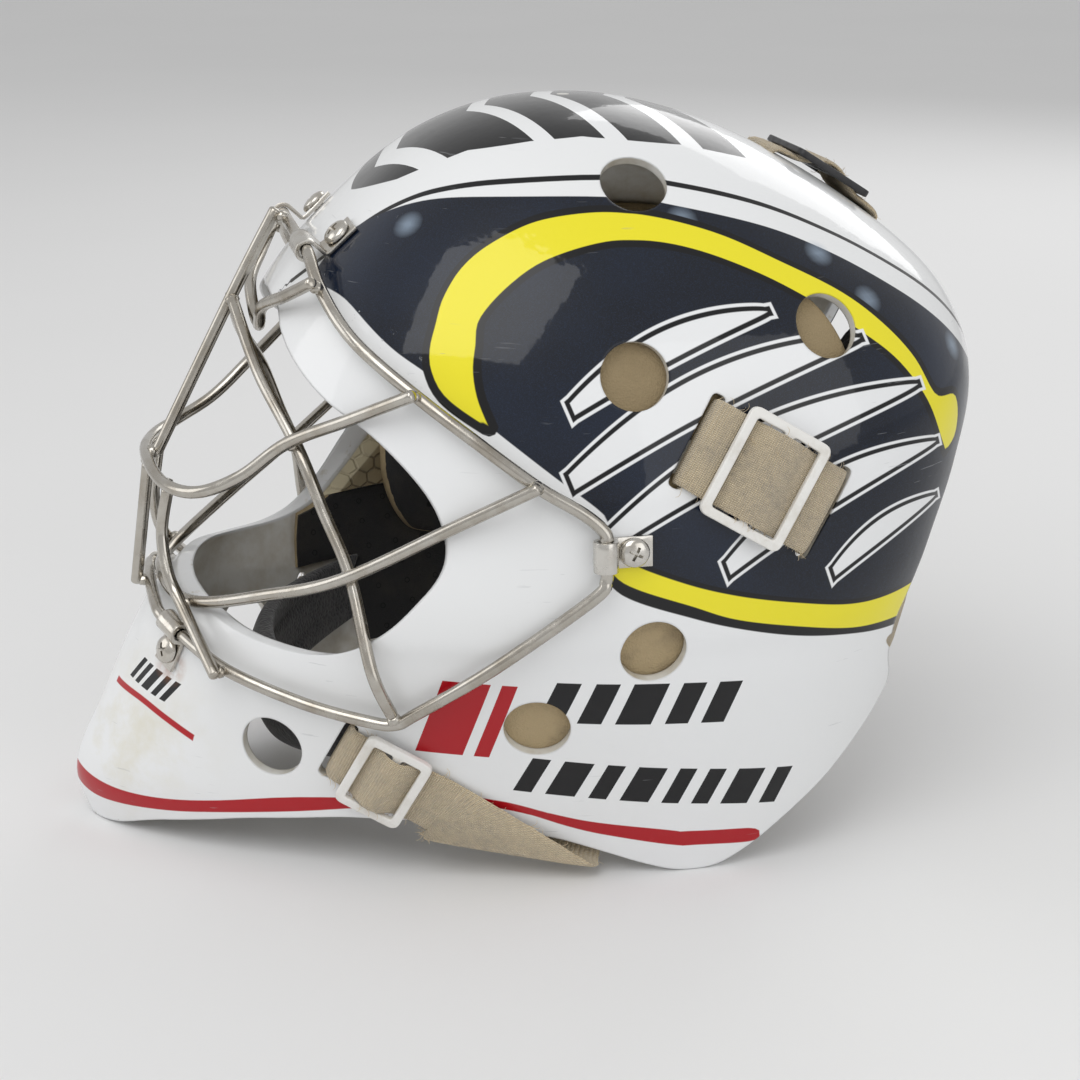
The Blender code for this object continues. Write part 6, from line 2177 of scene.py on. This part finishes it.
    def crown_stops(self) -> Stops:
        """Route of the crown strap, from its front slot over the slider and down to the rear plate."""
        across = Vector((1, 0, 0))
        stops = [(FORM.lifted(self.crown_share(0.0), h), across) for h in (-SHELL_WALL + 0.4, self.lift)]
        stops += self.weave(self.crown_share(0.5), self.crown_direction, self.crown_length)
        inside = self.inside - 1.2
        stops += [(FORM.lifted(self.crown_share(1.0), h), across) for h in (self.lift, inside)]
        stops += [(FORM.lifted(crown_point(y), inside), across) for y in (127, 134)]
        stops.append((FORM.lifted(FORM.back(0, 181), inside), across))
        stops += [(FORM.lifted(FORM.back(0, z), self.on_plate), across) for z in (170, 158, 150, 142, 134)]
        return self.one_sided(stops)

    def webbing(self, name: str, node: str, stops: Stops, width: float, bend: tuple[Vector, Vector]
                ) -> bpy.types.Object:
        """Woven strap along its stops, with soft edges, slight waves and a UV map in millimetres.

        Args:
            name: Name of the piece.
            node: Construction node that it stands for.
            stops: Route as points and directions across.
            width: Width of the webbing in mm.
            bend: Design points between which it leaves the mask and joins the rear plate.

        Returns:
            The strap.
        """
        fine: Stops = []
        for i in range(len(stops) - 1):
            (a, across_a), (b, across_b) = stops[i], stops[i + 1]
            steps = max(2, int((b - a).length / 1.6))
            fine += [(a.lerp(b, k / steps), across_a.lerp(across_b, k / steps)) for k in range(steps)]
        fine.append(stops[-1])
        centres = [p for p, _ in fine]
        acrosses = [a for _, a in fine]
        for _ in range(3):
            centres, acrosses = [[row[0], *[0.25 * a + 0.5 * b + 0.25 * c for a, b, c in
                                            zip(row, row[1:], row[2:])], row[-1]]
                                 for row in (centres, acrosses)]
        section = self.section(width)
        rings, distances = [], [0.0]
        for i, here in enumerate(centres):
            before, after = centres[max(i - 1, 0)], centres[min(i + 1, len(centres) - 1)]
            along = (after - before).normalized()
            across = acrosses[i].copy()
            if across.length < 1.01:
                across = (across - along * across.dot(along)).normalized()
            up = along.cross(across).normalized()
            travel = distances[-1]
            wave = 0.22 * math.sin(0.55 * travel) + 0.12 * math.sin(1.7 * travel)
            rings.append([here + across * (s + math.copysign(wave * abs(s / width), s)) + up * h
                          for s, h in section])
            if i < len(centres) - 1:
                distances.append(travel + (after - here).length)
        count = len(section)
        mesh = mesh_of(name, [p for ring in rings for p in ring], loft_faces(len(rings), count))
        layer = mesh.uv_layers.new(name="weave")
        for loop in mesh.loops:
            ring, k = divmod(loop.vertex_index, count)
            layer.data[loop.index].uv = (section[k][0], distances[min(ring, len(distances) - 1)])
        strap = smooth(add_piece(name, mesh, self.finishes.elastic), 50)
        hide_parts(node)
        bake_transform(strap)
        self.note_stitches(rings, count)
        self.note_fibres([r for r in rings if (r[0] - bend[0]).dot(bend[1] - bend[0]) < 0], count)
        return strap

    def section(self, width: float) -> list[Point2]:
        """Section of the webbing: flat faces, thinner round edges."""
        half, thick = width / 2, self.thickness / 2
        top = [(half * s, thick * math.sqrt(1 - abs(s) ** 8) * 0.98) for s in
               (-1, -0.985, -0.95, -0.88, -0.6, -0.3, 0, 0.3, 0.6, 0.88, 0.95, 0.985, 1)]
        return top + [(s, -h) for s, h in reversed(top[1:-1])]

    def note_stitches(self, rings: list[list[Vector]], count: int) -> None:
        """Places of a sewn box on both faces of the webbing at its end on the rear plate."""
        end = sum(rings[-1], Vector()) / count
        box = [r for r in rings if 2.0 < (sum(r, Vector()) / count - end).length < 15.0]
        for first, face in ((0, 1), (12, -1)):
            sides = [first + k for k in range(13)]
            for ring, following in zip(box[::2], box[1::2]):
                for column in (sides[2], sides[10]):
                    self.stitch(ring[column % count], following[column % count], ring, face)
            for ring in (box[0], box[-1]):
                edge_a, edge_b = ring[sides[2] % count], ring[sides[10] % count]
                steps = int((edge_b - edge_a).length / 2.6)
                marks = [edge_a.lerp(edge_b, k / steps) for k in range(steps + 1)]
                for start, stop in zip(marks, marks[1:]):
                    self.stitch(start, stop, ring, face)

    def stitch(self, start: Vector, end: Vector, ring: list[Vector], face: int) -> None:
        """Notes one stitch from a start towards an end on a face of a strap."""
        out = (ring[6] - ring[18]).normalized() * face
        lift = out * 0.08
        self.stitches.append(frame_matrix(start.lerp(end, 0.5) + lift, axes_from(out, end - start)))

    def note_fibres(self, rings: list[list[Vector]], count: int) -> None:
        """Chooses places of loose fibres along a strap's two edges and over its face."""
        rng = np.random.default_rng(self.fibre_seed + len(rings))
        for ring, following in zip(rings, rings[1:]):
            along = (following[0] - ring[0]).normalized()
            for _ in range(3):
                on_face = rng.random() < self.face_share
                k = int(rng.integers(0, count)) if on_face else int(rng.choice(self.edge_points)) % count
                centre = sum(ring, Vector()) / count
                out = (ring[k] - centre).normalized()
                direction = (out + along * rng.normal(0, 0.9)
                             + Vector(rng.normal(0, 0.5, 3))).normalized()
                self.fibres.append(frame_matrix(ring[k], axes_from(direction, along)))
                self.fibre_sizes.append(float(rng.uniform(0.5, 1.5)))

    def build_fibres(self) -> None:
        """Short curled fibres that stand off the worn webbing."""
        points = []
        for k in range(5):
            u = k / 4
            centre = Vector((1.0 * math.sin(2.2 * u), 0.5 * u * u, 1.7 * u - 0.2))
            points += [centre + Vector((x, y, 0)) for x, y in circle(0.075 * (1 - 0.6 * u), 3)]
        source = local_mesh("fibre_source", points, loft_faces(5, 3))
        scatter = Scatter("fibre", source, self.finishes.elastic)
        fibres = scatter.on("strap_fibres", self.fibres, self.fibre_sizes, 1.45)
        scatter.done()
        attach(fibres, Body.MASK.value)
        rings = [(-0.95, 0.12), (-0.6, 0.26), (0.6, 0.26), (0.95, 0.12)]
        points = [Vector((x, y, z)) for x, r in rings for y, z in circle(r, 6)]
        source = local_mesh("stitch_source", points, loft_faces(4, 6))
        scatter = Scatter("stitch", source, self.finishes.white_plastic)
        stitches = smooth(scatter.on("strap_stitches", self.stitches), 60)
        scatter.done()
        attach(stitches, Body.REAR_PLATE.value)

    def slider(self, body: Body, origin: Vector, along: Vector, length: float, width: float,
               material: bpy.types.Material) -> None:
        """Three-bar slide with rounded bars, on its own body.

        Args:
            body: Body that the slide is.
            origin: Point of the shell under its middle.
            along: Direction of the strap.
            length: Size along the strap in mm.
            width: Size across the strap in mm.
            material: Finish.
        """
        curve = bpy.data.curves.new(body.value, "CURVE")
        curve.dimensions = "2D"
        curve.fill_mode = "BOTH"
        rounding = 0.55
        curve.extrude = (self.slider_thickness / 2 - rounding) * MM
        curve.bevel_depth = rounding * MM
        curve.bevel_resolution = 3
        curve.offset = -rounding * MM
        windows = ((self.bar / 2, length / 2 - self.bar), (-length / 2 + self.bar, -self.bar / 2))
        inside = width / 2 - self.bar
        loops = [box_section(length, width, 3.4, 8)]
        loops += [rounded([(a, -inside), (b, -inside), (b, inside), (a, inside)], 1.2) for a, b in windows]
        for loop in loops:
            spline = curve.splines.new("POLY")
            spline.points.add(len(loop) - 1)
            for point, (x, y) in zip(spline.points, loop):
                point.co = (x * MM, y * MM, 0, 1)
            spline.use_cyclic_u = True
        item = linked(f"slide_{body.value}", curve)
        axes = axes_from(FORM.normal(origin), along)
        height = self.slider_lift + self.slider_thickness / 2
        item.matrix_world = frame_matrix(origin + axes[2] * height, axes)
        piece = smooth(weld_points(bake(item)), 45)
        piece.data.materials.clear()
        piece.data.materials.append(material)
        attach(piece, body.value)
        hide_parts(body.value)

    def build(self) -> None:
        """Makes every strap, slide and fibre."""
        white, black = self.finishes.white_plastic, self.finishes.black_plastic
        margin = 1.6 + 2 * self.bar
        for side in Side:
            sign, tag = side.value, side.tag
            bend = [FORM.back(x * sign, 106) for x in (88, 56)]
            self.webbing(f"side_webbing_{tag}", f"side_strap_{tag}", self.side_stops(sign),
                         self.side_width, bend)
            bend = [FORM.back(x * sign, NOTCH_HEIGHT - 7) for x in (88, 56)]
            self.webbing(f"lower_webbing_{tag}", f"lower_strap_{tag}", self.lower_stops(sign),
                         self.lower_width, bend)
            side_body, lower_body = Body(f"side_slider_{tag}"), Body(f"lower_slider_{tag}")
            self.slider(side_body, self.side_point(sign, self.side_share), self.side_direction(sign),
                        self.side_length, self.side_width + margin, white)
            self.slider(lower_body, self.lower_point(sign, self.lower_share), self.lower_direction(sign),
                        self.lower_length, self.lower_width + margin, white)
        self.webbing("crown_webbing", "crown_strap", self.crown_stops(), self.crown_width,
                     [FORM.back(0, z) for z in (184, 156)])
        self.slider(Body.CROWN_SLIDER, self.crown_share(0.5), self.crown_direction, self.crown_length,
                    self.crown_width + margin, black)
        self.build_fibres()
        LOG.info("harness: 5 straps, 5 slides, %d fibres", len(self.fibres))


# --- studio ---
@dataclass
class Studio:
    """Pale floor, soft lamps and the camera at the photograph's angle."""

    azimuth: float = 77.5
    elevation: float = 18.5
    distance: float = 0.8
    lens: float = 72.87
    target: tuple[float, float, float] = (0.0, 0.012665, 0.091)
    floor_tone: Colour = (0.80, 0.80, 0.80)
    floor_size: float = 60.0

    def build(self) -> None:
        """Sets the stage."""
        self.camera()
        self.floor()
        self.lamp("key", (0.75, -0.55, 1.25), 1.1, 8.0)
        self.lamp("fill", (1.5, 0.9, 0.65), 1.2, 4.5)
        self.lamp("front", (-0.3, -1.6, 0.7), 1.0, 4.0)
        self.lamp("back", (-1.2, 0.9, 1.0), 1.0, 5.0)
        self.world()
        bpy.context.scene.view_settings.view_transform = "Standard"
        LOG.info("studio ready")

    def camera(self) -> None:
        """Camera that looks at the mask as the photograph does."""
        a, e = math.radians(self.azimuth), math.radians(self.elevation)
        back = Vector((math.sin(a) * math.cos(e), -math.cos(a) * math.cos(e), math.sin(e)))
        data = bpy.data.cameras.new("camera")
        data.lens = self.lens
        data.sensor_width = 36.0
        data.clip_start = 0.01
        item = linked("camera", data)
        item.location = Vector(self.target) + back * self.distance
        item.rotation_euler = (-back).to_track_quat("-Z", "Y").to_euler()
        bpy.context.scene.camera = item

    def floor(self) -> None:
        """Plain pale floor under the mask."""
        half = self.floor_size / 2
        mesh = bpy.data.meshes.new("floor")
        mesh.from_pydata([(-half, -half, 0), (half, -half, 0), (half, half, 0), (-half, half, 0)], [],
                         [(0, 1, 2, 3)])
        sheet = NodeSheet("floor")
        shade = sheet.remap(sheet.noise(3, 2), 0.3, 0.7, 0.0, 0.3)
        sheet.set(Base_Color=sheet.mix(shade, self.floor_tone, (0.76, 0.76, 0.76)), Roughness=0.65)
        item = add_piece("floor", mesh, sheet.material)
        item.location.z = -0.0002

    def lamp(self, name: str, place: tuple[float, float, float], size: float, power: float) -> None:
        """Square soft lamp that points at the mask."""
        data = bpy.data.lights.new(name, "AREA")
        data.size = size
        data.energy = power
        item = linked(name, data)
        item.location = place
        item.rotation_euler = (Vector(self.target) - Vector(place)).to_track_quat("-Z", "Y").to_euler()

    def world(self) -> None:
        """Even light all round, with a pale backdrop for the camera and for reflections."""
        world = bpy.data.worlds.new("studio")
        world.use_nodes = True
        bpy.context.scene.world = world
        tree = world.node_tree
        background = tree.nodes["Background"]
        path, either = tree.nodes.new("ShaderNodeLightPath"), tree.nodes.new("ShaderNodeMath")
        either.operation = "MAXIMUM"
        tree.links.new(path.outputs["Is Camera Ray"], either.inputs[0])
        tree.links.new(path.outputs["Is Glossy Ray"], either.inputs[1])
        strength = tree.nodes.new("ShaderNodeMapRange")
        strength.inputs["To Min"].default_value = 0.58
        strength.inputs["To Max"].default_value = 0.62
        tree.links.new(either.outputs[0], strength.inputs["Value"])
        tree.links.new(strength.outputs[0], background.inputs["Strength"])
        background.inputs["Color"].default_value = (1.0, 1.0, 1.0, 1.0)


# --- main ---
def main() -> None:
    """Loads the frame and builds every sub-assembly in order."""
    logging.basicConfig(level=logging.INFO, format="%(name)s %(message)s", stream=sys.stdout)
    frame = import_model()
    finishes = Finishes()
    cage_frame = CageFrame()
    places = clip_places(cage_frame)
    Studio().build()
    Shell(finishes, places).build()
    Cage(finishes, cage_frame).build()
    Hardware(finishes, places, frame["nodes"]).build()
    Liner(finishes).build()
    RearPlate(finishes).build()
    Harness(finishes).build()


if __name__ == "__main__":
    main()
